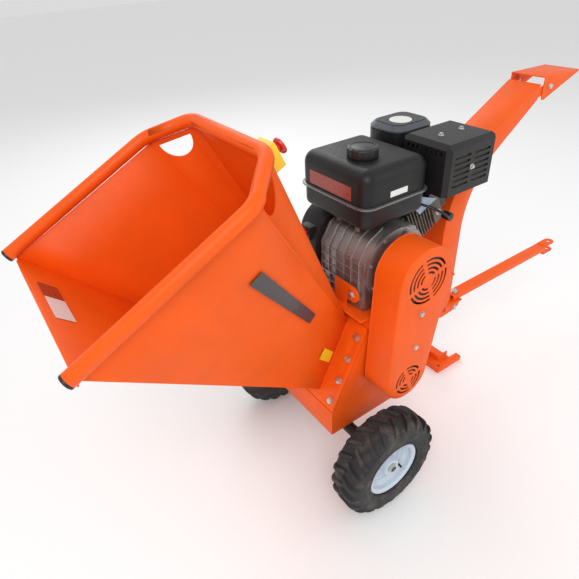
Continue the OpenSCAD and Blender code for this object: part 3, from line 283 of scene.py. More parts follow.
class Bench:
    """Modelling steps that every sub-assembly shares."""

    @staticmethod
    def only(obj: bpy.types.Object) -> None:
        """Selects one object and makes it active."""
        bpy.ops.object.select_all(action="DESELECT")
        obj.select_set(True)
        bpy.context.view_layer.objects.active = obj

    @staticmethod
    def begin() -> None:
        """Deselects everything before a primitive is added."""
        bpy.ops.object.select_all(action="DESELECT")

    @classmethod
    def edit(cls, obj: bpy.types.Object, mode: str = "FACE", whole: bool = True) -> None:
        """Opens a piece in edit mode.

        Args:
            obj: the piece.
            mode: FACE, EDGE or VERT.
            whole: True to select all of it.
        """
        cls.only(obj)
        bpy.ops.object.mode_set(mode="EDIT")
        bpy.ops.mesh.select_mode(type=mode)
        if whole:
            bpy.ops.mesh.select_all(action="SELECT")

    @staticmethod
    def close() -> None:
        """Leaves edit mode."""
        bpy.ops.object.mode_set(mode="OBJECT")

    @classmethod
    def pick_faces(cls, obj: bpy.types.Object, test: Callable[[Vector, Vector], bool]) -> None:
        """Opens a piece in edit mode with some faces selected.

        Args:
            obj: the piece.
            test: takes a face's centre and normal.
        """
        cls._deselect_mesh(obj)
        for face in obj.data.polygons:
            face.select = test(face.center, face.normal)
        cls.edit(obj, "FACE", whole=False)

    @classmethod
    def pick_edges(cls, obj: bpy.types.Object, test: Callable[[Vector, Vector], bool]) -> None:
        """Opens a piece in edit mode with some edges selected.

        Args:
            obj: the piece.
            test: takes an edge's two ends.
        """
        cls._deselect_mesh(obj)
        verts = obj.data.vertices
        for edge in obj.data.edges:
            edge.select = test(verts[edge.vertices[0]].co, verts[edge.vertices[1]].co)
        cls.edit(obj, "EDGE", whole=False)

    @staticmethod
    def _deselect_mesh(obj: bpy.types.Object) -> None:
        """Clears the selection inside a mesh."""
        for part in (obj.data.vertices, obj.data.edges, obj.data.polygons):
            part.foreach_set("select", [False] * len(part))

    @classmethod
    def tidy_normals(cls, obj: bpy.types.Object) -> bpy.types.Object:
        """Merges doubles and turns the faces outwards."""
        cls.edit(obj)
        bpy.ops.mesh.remove_doubles(threshold=MERGE)
        bpy.ops.mesh.normals_make_consistent(inside=False)
        cls.close()
        return obj

    @classmethod
    def box(cls, lo: Point, hi: Point) -> bpy.types.Object:
        """Adds a box between two corners, with its place in its mesh."""
        cls.begin()
        lo_v, hi_v = Vector(lo), Vector(hi)
        bpy.ops.mesh.primitive_cube_add(size=1, location=(lo_v + hi_v) / 2)
        obj = bpy.context.active_object
        obj.scale = hi_v - lo_v
        bpy.ops.object.transform_apply(location=True, rotation=True, scale=True)
        return obj

    @classmethod
    def ring(cls, points: Sequence[Point], filled: bool) -> bpy.types.Object:
        """Adds a circle primitive and moves its corners onto a closed outline.

        Args:
            points: the outline's corners.
            filled: True for a face inside the outline.

        Returns:
            The new object.
        """
        cls.begin()
        bpy.ops.mesh.primitive_circle_add(vertices=len(points), radius=1,
                                          fill_type="NGON" if filled else "NOTHING")
        obj = bpy.context.active_object
        for vert, point in zip(obj.data.vertices, points):
            vert.co = point
        return obj

    @classmethod
    def prism(cls, points: Sequence[Point], along: Point) -> bpy.types.Object:
        """Extrudes a closed outline along a vector into a closed solid."""
        obj = cls.ring(points, filled=True)
        cls.edit(obj)
        bpy.ops.mesh.extrude_region_move(TRANSFORM_OT_translate={"value": tuple(along)})
        cls.close()
        return cls.tidy_normals(obj)

    @classmethod
    def lathe(cls, profile: Outline, centre: Point, axis: Point, steps: int = 64,
              turn: float = 2 * math.pi) -> bpy.types.Object:
        """Spins a closed profile round an axis.

        Args:
            profile: corners as (radius, distance along the axis), in metres.
            centre: the axis's zero point.
            axis: the axis's direction.
            steps: how many steps make the turn.
            turn: the angle turned.

        Returns:
            The new object.
        """
        ax = Vector(axis).normalized()
        out = ax.orthogonal().normalized()
        mid = Vector(centre)
        obj = cls.ring([mid + out * r + ax * h for r, h in profile], filled=False)
        cls.edit(obj, "VERT")
        bpy.ops.mesh.spin(steps=steps, angle=turn, center=mid, axis=ax)
        cls.close()
        return cls.tidy_normals(obj)

    @classmethod
    def rod(cls, start: Point, stop: Point, radius: float, sides: int = 32,
            bevel: float = 0.0) -> bpy.types.Object:
        """Adds a round bar between two points, with softened ends."""
        a, b = Vector(start), Vector(stop)
        cls.begin()
        bpy.ops.mesh.primitive_cylinder_add(vertices=sides, radius=radius, depth=(b - a).length,
                                            location=(a + b) / 2,
                                            rotation=(b - a).to_track_quat("Z", "Y").to_euler())
        obj = bpy.context.active_object
        bpy.ops.object.transform_apply(location=True, rotation=True, scale=True)
        return cls.bevel(obj, bevel, 2) if bevel else obj

    @classmethod
    def bevel(cls, obj: bpy.types.Object, width: float, segments: int = 2,
              angle: float = 30.0) -> bpy.types.Object:
        """Rounds a piece's sharp edges with an applied bevel."""
        cls.only(obj)
        mod = obj.modifiers.new("edges", "BEVEL")
        mod.width = width
        mod.segments = segments
        mod.limit_method = "ANGLE"
        mod.angle_limit = math.radians(angle)
        bpy.ops.object.modifier_apply(modifier=mod.name)
        return obj

    @classmethod
    def round_edges(cls, obj: bpy.types.Object, test: Callable[[Vector, Vector], bool], width: float,
                    segments: int) -> None:
        """Bevels the edges that a test picks."""
        cls.pick_edges(obj, test)
        bpy.ops.mesh.bevel(offset=width, segments=segments, affect="EDGES")
        cls.close()

    @classmethod
    def thicken(cls, obj: bpy.types.Object, wall: float) -> bpy.types.Object:
        """Gives an open shell a wall, inwards."""
        cls.only(obj)
        mod = obj.modifiers.new("wall", "SOLIDIFY")
        mod.thickness = wall
        mod.offset = -1
        bpy.ops.object.modifier_apply(modifier=mod.name)
        return obj

    @classmethod
    def cut(cls, obj: bpy.types.Object, cutter: bpy.types.Object) -> bpy.types.Object:
        """Takes a cutter's shape out of a piece and removes the cutter."""
        cls.only(obj)
        mod = obj.modifiers.new("cut", "BOOLEAN")
        mod.operation = "DIFFERENCE"
        mod.solver = "EXACT"
        mod.object = cutter
        bpy.ops.object.modifier_apply(modifier=mod.name)
        bpy.data.objects.remove(cutter)
        return obj

    @classmethod
    def join(cls, parts: Sequence[bpy.types.Object]) -> bpy.types.Object:
        """Joins pieces into the first one."""
        bpy.ops.object.select_all(action="DESELECT")
        for part in parts:
            part.select_set(True)
        bpy.context.view_layer.objects.active = parts[0]
        if len(parts) > 1:
            bpy.ops.object.join()
        return parts[0]

    @classmethod
    def copies(cls, obj: bpy.types.Object, places: Sequence[Matrix]) -> bpy.types.Object:
        """Repeats a piece at several places, each with its own mesh, and joins them."""
        made = []
        for place in places:
            twin = bpy.data.objects.new(obj.name, obj.data.copy())
            bpy.context.scene.collection.objects.link(twin)
            twin.data.transform(place)
            made.append(twin)
        bpy.data.objects.remove(obj)
        return cls.join(made)

    @classmethod
    def wire(cls, points: Sequence[Point], radius: float, sides: int = 3) -> bpy.types.Object:
        """Lays a round wire along a smooth path."""
        cls.begin()
        curve = bpy.data.curves.new("path", "CURVE")
        curve.dimensions = "3D"
        curve.bevel_depth = radius
        curve.bevel_resolution = sides
        curve.use_fill_caps = True
        curve.resolution_u = 8
        line = curve.splines.new("NURBS")
        line.points.add(len(points) - 1)
        for knot, point in zip(line.points, points):
            knot.co = (*point, 1.0)
        line.order_u = min(4, len(points))
        line.use_endpoint_u = True
        obj = bpy.data.objects.new("wire", curve)
        bpy.context.scene.collection.objects.link(obj)
        cls.only(obj)
        bpy.ops.object.convert(target="MESH")
        return bpy.context.active_object

    @classmethod
    def smooth(cls, obj: bpy.types.Object, angle: float = 35.0) -> bpy.types.Object:
        """Shades a piece smooth except at its sharp edges."""
        cls.only(obj)
        bpy.ops.object.shade_smooth_by_angle(angle=math.radians(angle))
        return obj


class Machine:
    """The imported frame, and the steps that hang finished pieces on it."""

    def __init__(self) -> None:
        """Loads the frame and notes the CAD box."""
        self.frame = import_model()
        self.cad_box = [list(corner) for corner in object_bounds()]
        self.slots = {s["node"]: s["material_slot"] for s in self.frame["record"]["subparts"]}
        self.body_of = {n: body for body,
                        nodes in self.frame["record"]["behaviour"]["bodies"].items() for n in nodes}

    def dress_nodes(self) -> None:
        """Gives every CAD node its finish."""
        for name, obj in self.frame["nodes"].items():
            material = FINISHES[self.slots[name]].material()
            obj.data.materials.clear()
            obj.data.materials.append(material)

    def hang(self, obj: bpy.types.Object, name: str, body: str, finish: Finish, *stands_for: str,
             angle: float = 35.0) -> bpy.types.Object:
        """Names, dresses and mounts a finished piece.

        Args:
            obj: the piece, with its place in its mesh.
            name: its name.
            body: the body that it rides on.
            finish: its finish.
            stands_for: the CAD nodes that it replaces.
            angle: the sharpest angle that is shaded smooth.

        Returns:
            The piece.
        """
        Bench.smooth(obj, angle)
        obj.name = name
        obj.data.name = name
        obj.data.materials.clear()
        obj.data.materials.append(finish.material())
        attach(obj, body)
        if stands_for:
            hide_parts(*stands_for)
        LOG.info("%s: %d faces on %s", name, len(obj.data.polygons), body)
        return obj

    def soften(self, node: str, width_mm: float, segments: int = 2, angle: float = 30.0,
               finish: Optional[Finish] = None) -> bpy.types.Object:
        """Stands a copy of a CAD node with rounded edges in its place.

        Args:
            node: the CAD node.
            width_mm: the width of the rounding.
            segments: how many steps the rounding has.
            angle: the flattest edge that is rounded, in degrees.
            finish: a finish other than the node's own.

        Returns:
            The new piece.
        """
        source = self.frame["nodes"][node]
        obj = bpy.data.objects.new(node, source.data.copy())
        bpy.context.scene.collection.objects.link(obj)
        Bench.edit(obj)
        bpy.ops.mesh.remove_doubles(threshold=MERGE)
        bpy.ops.mesh.dissolve_limited(angle_limit=math.radians(0.5))
        Bench.close()
        Bench.bevel(obj, width_mm * MM, segments, angle)
        return self.hang(obj, node + "_finished", self.body_of[node], finish or FINISHES[self.slots[node]],
                         node)


@dataclass
class SheetMetal:
    """Cut and folded orange sheet, plate and bar that keep their CAD shapes, with softened edges."""

    plates: Tuple[str, ...] = ("hopper_flange", "intake_plate", "casing_sides", "casing_shell",
                               "engine_plate",
                               "tow_bracket", "rear_leg", "rear_foot", "guard_back", "hitch_clevis",
                               "chute_flange")
    sheets: Tuple[str, ...] = ("hopper_floor", "hopper_roof", "hopper_corners", "deflector", "chute_sides",
                               "chute_walls")
    bars: Tuple[str, ...] = ("tow_bar", "axle")
    hardware: Tuple[str, ...] = ("large_bolts", "small_bolts", "tow_bolts", "axle_nuts")

    def build(self, machine: Machine) -> None:
        """Builds every softened piece."""
        for node in self.plates:
            machine.soften(node, 1.0)
        for node in self.sheets:
            machine.soften(node, 0.6)
        for node in self.bars:
            machine.soften(node, 2.2, 3)
        for node in self.hardware:
            machine.soften(node, 0.5)


@dataclass
class Hopper:
    """Feed hopper: rim tube, side sheets, weld seams, colour panels and emergency stop."""

    weld_r: float = 0.0022
    panel_t: float = 0.0006
    rim_mm: Tuple[Tuple[float, float, float], ...] = ((-750, -258, 917), (-374, -258, 1107),
                                                      (-282, -163, 1151))
    throat_mm: Tuple[Tuple[float, float, float], ...] = ((-96.8, -65, 330.4), (10.7, -65, 546.1))

    def build(self, machine: Machine) -> None:
        """Builds the hopper's pieces."""
        machine.soften("rim_tube", 0.3, 1, 60)
        machine.soften("rim_caps", 1.2, 2)
        machine.soften("hopper_sides", 0.6, 1, 50)
        self._welds(machine)
        self._panels(machine)
        self._estop(machine)

    def _welds(self, machine: Machine) -> None:
        """Lays weld beads where the sheets meet the flange."""
        foot, head = (at(-97, y, 330) for y in (-67, 67)), (at(10.5, y, 546) for y in (-67, 67))
        near_foot, far_foot = foot
        near_head, far_head = head
        beads = []
        for a, b in ((near_foot, near_head), (far_foot, far_head), (near_foot, far_foot),
                     (near_head, far_head)):
            points = [a.lerp(b, i / 24) + Vector((-0.0015, 0, 0.001)) for i in range(25)]
            beads.append(Bench.wire(points, self.weld_r))
        machine.hang(Bench.join(beads), "hopper_welds", "chassis", ORANGE)

    def _panel(self, corners: Sequence[Vector], span: Sequence[float], lift: float,
               towards: Vector) -> bpy.types.Object:
        """Makes a thin panel on a twisted sheet.

        Args:
            corners: the sheet's corners, as the ends of its first edge and the ends of the opposite one.
            span: the panel's start and stop along the edges, then its start and stop between them.
            lift: its height above the sheet.
            towards: a direction on the sheet's shown side.

        Returns:
            The panel.
        """
        a, b, c, d = corners
        u0, u1, v0, v1 = span

        def place(u: float, v: float) -> Vector:
            return a.lerp(b, u).lerp(c.lerp(d, u), v)

        mid_u, mid_v = (u0 + u1) / 2, (v0 + v1) / 2
        normal = (place(u1, mid_v) - place(u0, mid_v)).cross(place(mid_u, v1) - place(mid_u, v0)).normalized()
        if normal.dot(towards) < 0:
            normal = -normal
        steps = 8
        low = [place(u0 + (u1 - u0) * i / steps, v0) for i in range(steps + 1)]
        top = [place(u0 + (u1 - u0) * i / steps, v1) for i in range(steps, -1, -1)]
        return Bench.prism([p + normal * lift for p in low + top], normal * self.panel_t)

    def _panels(self, machine: Machine) -> None:
        """Adds plain colour panels on the side, the roof and the floor's lip."""
        lip, arm, top = (at(*p) for p in self.rim_mm)
        foot, head = (at(*p) for p in self.throat_mm)

        def far(p: Vector) -> Vector:
            return Vector((p.x, -p.y, p.z))

        side, out = (lip, arm, foot, head), Vector((0, -1, 0))
        machine.hang(self._panel(side, (0.7, 0.8, 0.22, 0.66), 0.004, out), "side_panel", "chassis",
                     PANEL_DARK)
        machine.hang(self._panel(side, (0.4, 0.55, 0.88, 0.97), 0.003, out), "side_notice", "chassis",
                     PANEL_YELLOW)
        roof = (top, far(top), head, far(head))
        machine.hang(self._panel(roof, (0.55, 0.8, 0.25, 0.5), 0.002, Vector((1, 0, 0.4))), "roof_panel",
                     "chassis", PANEL_WHITE)
        floor = (lip, far(lip), foot, far(foot))
        up = Vector((0, 0, 1))
        machine.hang(self._panel(floor, (0.43, 0.62, 0.04, 0.09), 0.0045, up), "floor_panel", "chassis",
                     PANEL_WHITE)
        machine.hang(self._panel(floor, (0.62, 0.76, 0.04, 0.09), 0.0045, up), "floor_notice", "chassis",
                     PANEL_RUST)

    def _estop(self, machine: Machine) -> None:
        """Finishes the emergency stop's box and mushroom button."""
        machine.soften("estop_box", 2.0, 3)
        axis = Vector((-0.9, 0, -0.436)).normalized()
        out = -axis
        base = at(-282, -88, 1151) + Vector((50 * 0.436, 0, -50 * 0.9)) * MM
        mm = [(0, 22), (8.9, 22), (8.9, 56), (17, 56), (18.4, 58), (19, 61), (17.6, 63.8), (14, 65), (0, 65)]
        profile = [(r * MM, h * MM) for r, h in mm]
        machine.hang(Bench.lathe(profile, base, out, 48), "stop_button", "estop", RED, "estop_button",
                     angle=30)


@dataclass
class BeltGuard:
    """Belt guard: a deep tapered dish with ringed vents."""

    low: Tuple[float, float] = (88, 412)
    low_r: float = 80
    high: Tuple[float, float] = (124, 733)
    high_r: float = 98
    face_mm: float = -247
    depth_mm: float = 96
    wall: float = 0.002
    vents: Tuple[Tuple[float, float, float, int, float], ...] = ((128, 733, 22, 4, 13.5),
            (91.5, 398, 17, 3, 13))
    slot_mm: float = 7
    bolts: Tuple[Tuple[float, float], ...] = ((114, 632), (106, 518))

    def build(self, machine: Machine) -> None:
        """Builds the dish, its vents and its seam."""
        dish = Bench.prism(self._outline(), (0, self.depth_mm * MM, 0))
        front = self.face_mm * MM
        Bench.round_edges(dish, lambda a, b: abs(a.y - front) < MERGE and abs(b.y - front) < MERGE, 0.0045, 3)
        back = front + self.depth_mm * MM
        Bench.pick_faces(dish, lambda c, n: n.y > 0.9 and abs(c.y - back) < MERGE)
        bpy.ops.mesh.delete(type="FACE")
        Bench.close()
        Bench.thicken(dish, self.wall)
        Bench.cut(dish, self._vent_cutter())
        machine.hang(dish, "belt_guard_dish", "chassis", ORANGE, "belt_guard")
        seam = [Vector((p[0], back - 0.002, p[2])) for p in self._outline()]
        machine.hang(Bench.wire(seam + seam[:1], 0.0018), "guard_seam", "chassis", ORANGE)

    def _outline(self) -> List[Vector]:
        """Returns the tapered outline at the guard's face."""
        dx, dz = self.high[0] - self.low[0], self.high[1] - self.low[1]
        slope = math.atan2(dz, dx)
        spread = math.acos((self.low_r - self.high_r) / math.hypot(dx, dz))
        points = []
        for (cx, cz), r, start, stop in ((self.low, self.low_r, slope + spread, slope + 2 * math.pi - spread),
                                         (self.high, self.high_r, slope - spread, slope + spread)):
            for i in range(41):
                a = start + (stop - start) * i / 40
                points.append(at(cx + r * math.cos(a), self.face_mm, cz + r * math.sin(a)))
        return points

    def _vent_cutter(self) -> bpy.types.Object:
        """Makes the ringed slots as one cutter."""
        cutters = []
        for cx, cz, r0, rings, pitch in self.vents:
            for ring in range(rings):
                inner = r0 + ring * pitch
                gap = math.asin(6.5 / (inner + self.slot_mm / 2))
                for quarter in range(4):
                    start = math.radians(20) + quarter * math.pi / 2 + gap
                    turn = math.pi / 2 - 2 * gap
                    cutters.append(self._arc_slot(cx, cz, inner, inner + self.slot_mm, start, turn))
        return Bench.join(cutters)

    def _arc_slot(self, cx: float, cz: float, inner: float, outer: float, start: float,
                  turn: float) -> bpy.types.Object:
        """Makes one curved slot's cutter."""
        steps = 12
        rows = []
        for r, order in ((inner, range(steps + 1)), (outer, range(steps, -1, -1))):
            for i in order:
                a = start + turn * i / steps
                rows.append(at(cx + r * math.cos(a), self.face_mm - 3, cz + r * math.sin(a)))
        return Bench.prism(rows, (0, 0.012, 0))


@dataclass
class Wheels:
    """Two pneumatic tyres with chevron lugs on dished rims."""

    axle_x_mm: float = -34
    axle_z_mm: float = 172.5
    middle_mm: float = 290
    tyre_r: float = 0.1725
    half_w: float = 0.055
    rim_r: float = 0.093
    lugs: int = 22
    lug_h: float = 0.009

    def build(self, machine: Machine) -> None:
        """Builds both wheels."""
        for side, name in ((-1, "near"), (1, "far")):
            centre = at(self.axle_x_mm, side * self.middle_mm, self.axle_z_mm)
            self._tyre(machine, centre, name)
            self._rim(machine, centre, side, name)

    def _tread_r(self, y: float) -> float:
        """Returns the carcass's radius at a distance from the tyre's middle."""
        t = min(1.0, abs(y) / self.half_w)
        return self.tyre_r - self.lug_h - 0.018 * t ** 3.2

    def _tyre(self, machine: Machine, centre: Vector, name: str) -> None:
        """Builds one tyre: carcass, side ribs and lugs."""
        w, f = self.half_w, self.rim_r
        half = [(f + 0.0005, -w + 0.006), (f + 0.004, -w + 0.0025), (f + 0.009, -w + 0.0022),
                (f + 0.012, -w + 0.004),
                (f + 0.018, -w + 0.0028), (0.124, -w), (0.134, -w + 0.0002), (0.1405, -w + 0.0012), (0.142,
                        -w + 0.0005), (0.1445, -w + 0.001), (0.146, -w + 0.0035)]
        crown = [(self._tread_r(y), y) for y in (-w + 0.009, -0.038, -0.028, -0.014)]
        profile = half + crown
        profile += [(self._tread_r(0.0), 0.0)] + [(r, -y) for r, y in reversed(profile)]
        inner = [(f + 0.004, w - 0.012), (f + 0.03, w - 0.012), (0.144, 0.03), (0.146, 0.0), (0.144, -0.03),
                 (f + 0.03, -w + 0.012),
                 (f + 0.004, -w + 0.012)]
        carcass = Bench.lathe(profile + inner, centre, (0, 1, 0), 96)
        lug = self._lug(centre)
        places = []
        for i in range(self.lugs):
            for mirror in (1, -1):
                turn = Matrix.Rotation(2 * math.pi * (i + (0.5 if mirror < 0 else 0)) / self.lugs, 4, "Y")
                flip = Matrix.Diagonal((1, mirror, 1, 1))
                places.append(Matrix.Translation(centre) @ turn @ flip @ Matrix.Translation(-centre))
        lugs = Bench.copies(lug, places)
        Bench.tidy_normals(lugs)
        machine.hang(Bench.join([carcass, lugs]), f"tyre_{name}_treaded", f"{name}_wheel", TYRE,
                     f"tyre_{name}", angle=28)

    def _lug(self, centre: Vector) -> bpy.types.Object:
        """Builds one lug, from the tyre's middle over its shoulder."""
        cube = Bench.box((0, -0.5, 0), (1, 0.5, 1))
        Bench.edit(cube)
        bpy.ops.mesh.subdivide(number_cuts=5)
        Bench.close()
        lean = -1.0
        for vert in cube.data.vertices:
            along, across, up = vert.co
            y = -0.002 + along * (self.half_w + 0.0005)
            over = max(0.0, (along - 0.86) / 0.14)
            r_low = self._tread_r(y) - 0.005 - over * 0.006
            r_high = self.tyre_r - 0.0125 * max(0.0, along - 0.62) / 0.38 * (1 + 0.4 * over)
            r = r_low + (r_high - r_low) * up
            taper = 1.0 - 0.22 * up
            width = (0.0125 + 0.006 * along) * taper
            a = lean * 0.16 * along + across * width / self.tyre_r
            reach = min(y, self.half_w - 0.0002 - 0.004 * up)
            vert.co = centre + Vector((r * math.sin(a), reach, r * math.cos(a)))
        Bench.bevel(cube, 0.0011, 1, 50)
        return cube

    def _rim(self, machine: Machine, centre: Vector, side: int, name: str) -> None:
        """Builds one rolled rim with its dished disc, hub and valve."""
        f = self.rim_r
        out = Vector((0, side, 0))
        half = [(f, 0.044), (f - 0.001, 0.0452), (f - 0.004, 0.0452), (f - 0.0085, 0.043), (f - 0.013, 0.040),
                (f - 0.0135, 0.022),
                (f - 0.024, 0.015)]
        inner = [(f - 0.021, 0.0165), (f - 0.0105, 0.0235), (f - 0.010, 0.0385), (f - 0.003, 0.0415),
                 (f - 0.0005, 0.0425)]
        well = half + [(r, -h) for r, h in reversed(half)] + [(r, -h) for r,
                h in inner] + list(reversed(inner))
        barrel = Bench.lathe(well, centre, out, 72)
        dish = [(0.027, 0.013), (0.034, 0.0145), (0.045, 0.0135), (0.056, 0.008), (0.064, 0.0075),
                (f - 0.022, 0.0135),
                (f - 0.022, 0.0105), (0.064, 0.0045), (0.056, 0.005), (0.045, 0.0105), (0.034,
                        0.0115), (0.027, 0.010)]
        disc = Bench.lathe(dish, centre, out, 72)
        hub_profile = [(0.01005, -0.038), (0.026, -0.038), (0.028, -0.036), (0.028, 0.034), (0.0265, 0.038),
                       (0.019, 0.038),
                       (0.017, 0.0365), (0.01005, 0.0365)]
        hub = Bench.lathe(hub_profile, centre, out, 48)
        valve = Bench.rod(centre + Vector((0.052, side * 0.004, -0.046)),
                          centre + Vector((0.048, side * 0.034, -0.042)), 0.0034, 12, 0.0006)
        machine.hang(Bench.join([barrel, disc, hub]), f"rim_{name}_dished", f"{name}_wheel", RIM,
                     f"wheel_{name}")
        machine.hang(valve, f"valve_{name}", f"{name}_wheel", TYRE)


def rounded_rect(cx: float, cy: float, w: float, d: float, r: float, z: float,
                 steps: int = 8) -> List[Vector]:
    """Returns a rounded rectangle's outline at one height, from machine millimetres."""
    points = []
    for k, (sx, sy) in enumerate(((1, 1), (-1, 1), (-1, -1), (1, -1))):
        for i in range(steps + 1):
            a = math.pi / 2 * (k + i / steps)
            points.append(at(cx + sx * (w / 2 - r) + r * math.cos(a), cy + sy * (d / 2 - r) + r * math.sin(a),
                             z))
    return points


@dataclass
class Engine:
    """Petrol engine: tank, cap, air cleaner, muffler guard, castings, shroud, starter and wiring."""

    tank: Tuple[float, float, float, float] = (116, 3, 238, 278)
    tank_deep_mm: float = 60
    seam_mm: float = 926
    tank_top_mm: float = 1021
    cap_at: Tuple[float, float] = (88, -22)
    cap_r: float = 41.5
    filter_at: Tuple[float, float] = (321, 76)
    guard_lo: Tuple[float, float, float] = (240, -175, 906)
    guard_hi: Tuple[float, float, float] = (431, -9, 1044)
    castings: Tuple[str, ...] = ("crankcase", "crankcase_cover", "carburettor")
    plain: Tuple[str, ...] = ("valve_cover", "fan_shroud", "recoil_cover", "recoil_grip", "throttle_lever",
                              "engine_switch",
                              "rotor_bearings", "spark_plug")

    def build(self, machine: Machine) -> None:
        """Builds the engine's pieces."""
        for node in self.castings:
            machine.soften(node, 1.6, 2)
        for node in self.plain:
            machine.soften(node, 1.2, 2)
        # Painted shade: the cylinder's fins take the darkened aluminium that stands in for their shade under
        # the muffler guard.
        machine.soften("cylinder", 0.5, 1, finish=FINS_PAINTED_SHADE)
        self._tank(machine)
        self._cap(machine)
        self._air_cleaner(machine)
        self._muffler_guard(machine)
        self._cover_ribs(machine)
        self._wiring(machine)

    def _tank(self, machine: Machine) -> None:
        """Builds the pressed tank, its seam and its front panel."""
        x, y, length, width = self.tank
        seam, top = self.seam_mm, self.tank_top_mm
        upper = Bench.prism(rounded_rect(x, y, length - 10, width - 10, 34, seam + 4),
                            (0, 0, (top - seam - 4) * MM))
        top_z = top * MM
        Bench.round_edges(upper, lambda a, b: abs(a.z - top_z) < MERGE and abs(b.z - top_z) < MERGE, 0.034, 9)
        lower = Bench.prism(rounded_rect(x, y, length - 14, width - 14, 32, seam - self.tank_deep_mm),
                            (0, 0, (self.tank_deep_mm + 1) * MM))
        low_z = (seam - self.tank_deep_mm) * MM
        Bench.round_edges(lower, lambda a, b: abs(a.z - low_z) < MERGE and abs(b.z - low_z) < MERGE, 0.016, 5)
        flange = Bench.bevel(Bench.prism(rounded_rect(x, y, length + 4, width + 4, 38, seam), (0, 0, 0.005)),
                             0.0014, 2)
        neck = Bench.lathe([(0, 1.015), (0.030, 1.015), (0.030, 1.034), (0, 1.034)], at(*self.cap_at, 0),
                           (0, 0, 1), 48)
        machine.hang(Bench.join([upper, lower, neck]), "tank_pressed", "chassis", SATIN, "fuel_tank",
                     angle=40)
        machine.hang(flange, "tank_seam", "chassis", SEAM)
        x0 = x - (length - 10) / 2
        panel = Bench.prism([at(x0 - 0.5, yy, zz) for yy, zz in ((-78, 938), (92, 938), (92, 976),
                (-78, 976))], (0.0008, 0, 0))
        machine.hang(Bench.bevel(panel, 0.0003, 1), "tank_front_panel", "chassis", PANEL_RUST)
        y0 = y - (width - 10) / 2
        side = Bench.prism([at(xx, y0 - 0.5, zz) for xx, zz in ((86, 942), (146, 942), (146, 958),
                (86, 958))], (0, 0.0008, 0))
        machine.hang(Bench.bevel(side, 0.0003, 1), "tank_side_panel", "chassis", PANEL_WHITE)

    def _cap(self, machine: Machine) -> None:
        """Builds the fluted fuel cap."""
        cx, cy = self.cap_at
        flutes, per = 12, 10
        points = []
        for i in range(flutes * per):
            a = 2 * math.pi * i / (flutes * per)
            r = self.cap_r - 1.7 * (0.5 - 0.5 * math.cos(flutes * a)) ** 2
            points.append(at(cx + r * math.cos(a), cy + r * math.sin(a), 1023.2))
        cap = Bench.prism(points, (0, 0, 0.0235))
        top = 1.0467
        Bench.round_edges(cap, lambda a, b: abs(a.z - top) < MERGE * 5 and abs(b.z - top) < MERGE * 5, 0.0042,
                          3)
        disc = Bench.lathe([(0, 1.044), (0.031, 1.044), (0.031, 1.0462), (0.029, 1.0470), (0, 1.0470)],
                           at(cx, cy, 0), (0, 0, 1), 64)
        ring = Bench.lathe([(0.0325, 1.0460), (0.0352, 1.0460), (0.0352, 1.0476), (0.0325, 1.0476)],
                           at(cx, cy, 0), (0, 0, 1), 64)
        machine.hang(Bench.join([cap, disc, ring]), "tank_cap_fluted", "cap", PLASTIC, "tank_cap", angle=40)

    def _air_cleaner(self, machine: Machine) -> None:
        """Builds the air cleaner's body, its bevelled lid and its round blank."""
        cx, cy = self.filter_at
        body = Bench.prism(rounded_rect(cx, cy, 154, 134, 40, 930), (0, 0, 0.099))
        Bench.round_edges(body, lambda a, b: max(abs(a.z - 0.93), abs(b.z - 0.93)) < MERGE, 0.008, 3)
        step = Bench.prism(rounded_rect(cx, cy, 148, 128, 38, 1028.5), (0, 0, 0.004))
        pipe = Bench.lathe([(0.016, 0.905), (0.021, 0.905), (0.021, 0.934), (0.016, 0.934)], at(266, 46, 0),
                           (0, 0, 1), 32)
        machine.hang(Bench.join([body, step, pipe]), "air_cleaner_body", "chassis", PLASTIC, "air_cleaner",
                     angle=40)
        lid = Bench.prism(rounded_rect(cx, cy, 154, 134, 40, 1032), (0, 0, 0.016))
        Bench.round_edges(lid, lambda a, b: max(abs(a.z - 1.048), abs(b.z - 1.048)) < MERGE, 0.012, 1)
        machine.hang(lid, "air_cleaner_lid", "chassis", LID, angle=30)
        top = Bench.bevel(Bench.prism(rounded_rect(cx, cy, 124, 104, 27, 1047.5), (0, 0, 0.0022)), 0.0008, 1)
        machine.hang(top, "air_cleaner_top", "chassis", PLASTIC)
        disc = Bench.lathe([(0, 1.0495), (0.032, 1.0495), (0.032, 1.0510), (0.0312, 1.0518), (0, 1.0518)],
                           at(cx - 11, cy - 10, 0), (0, 0, 1), 64)
        machine.hang(disc, "air_cleaner_blank", "chassis", PANEL_WHITE)

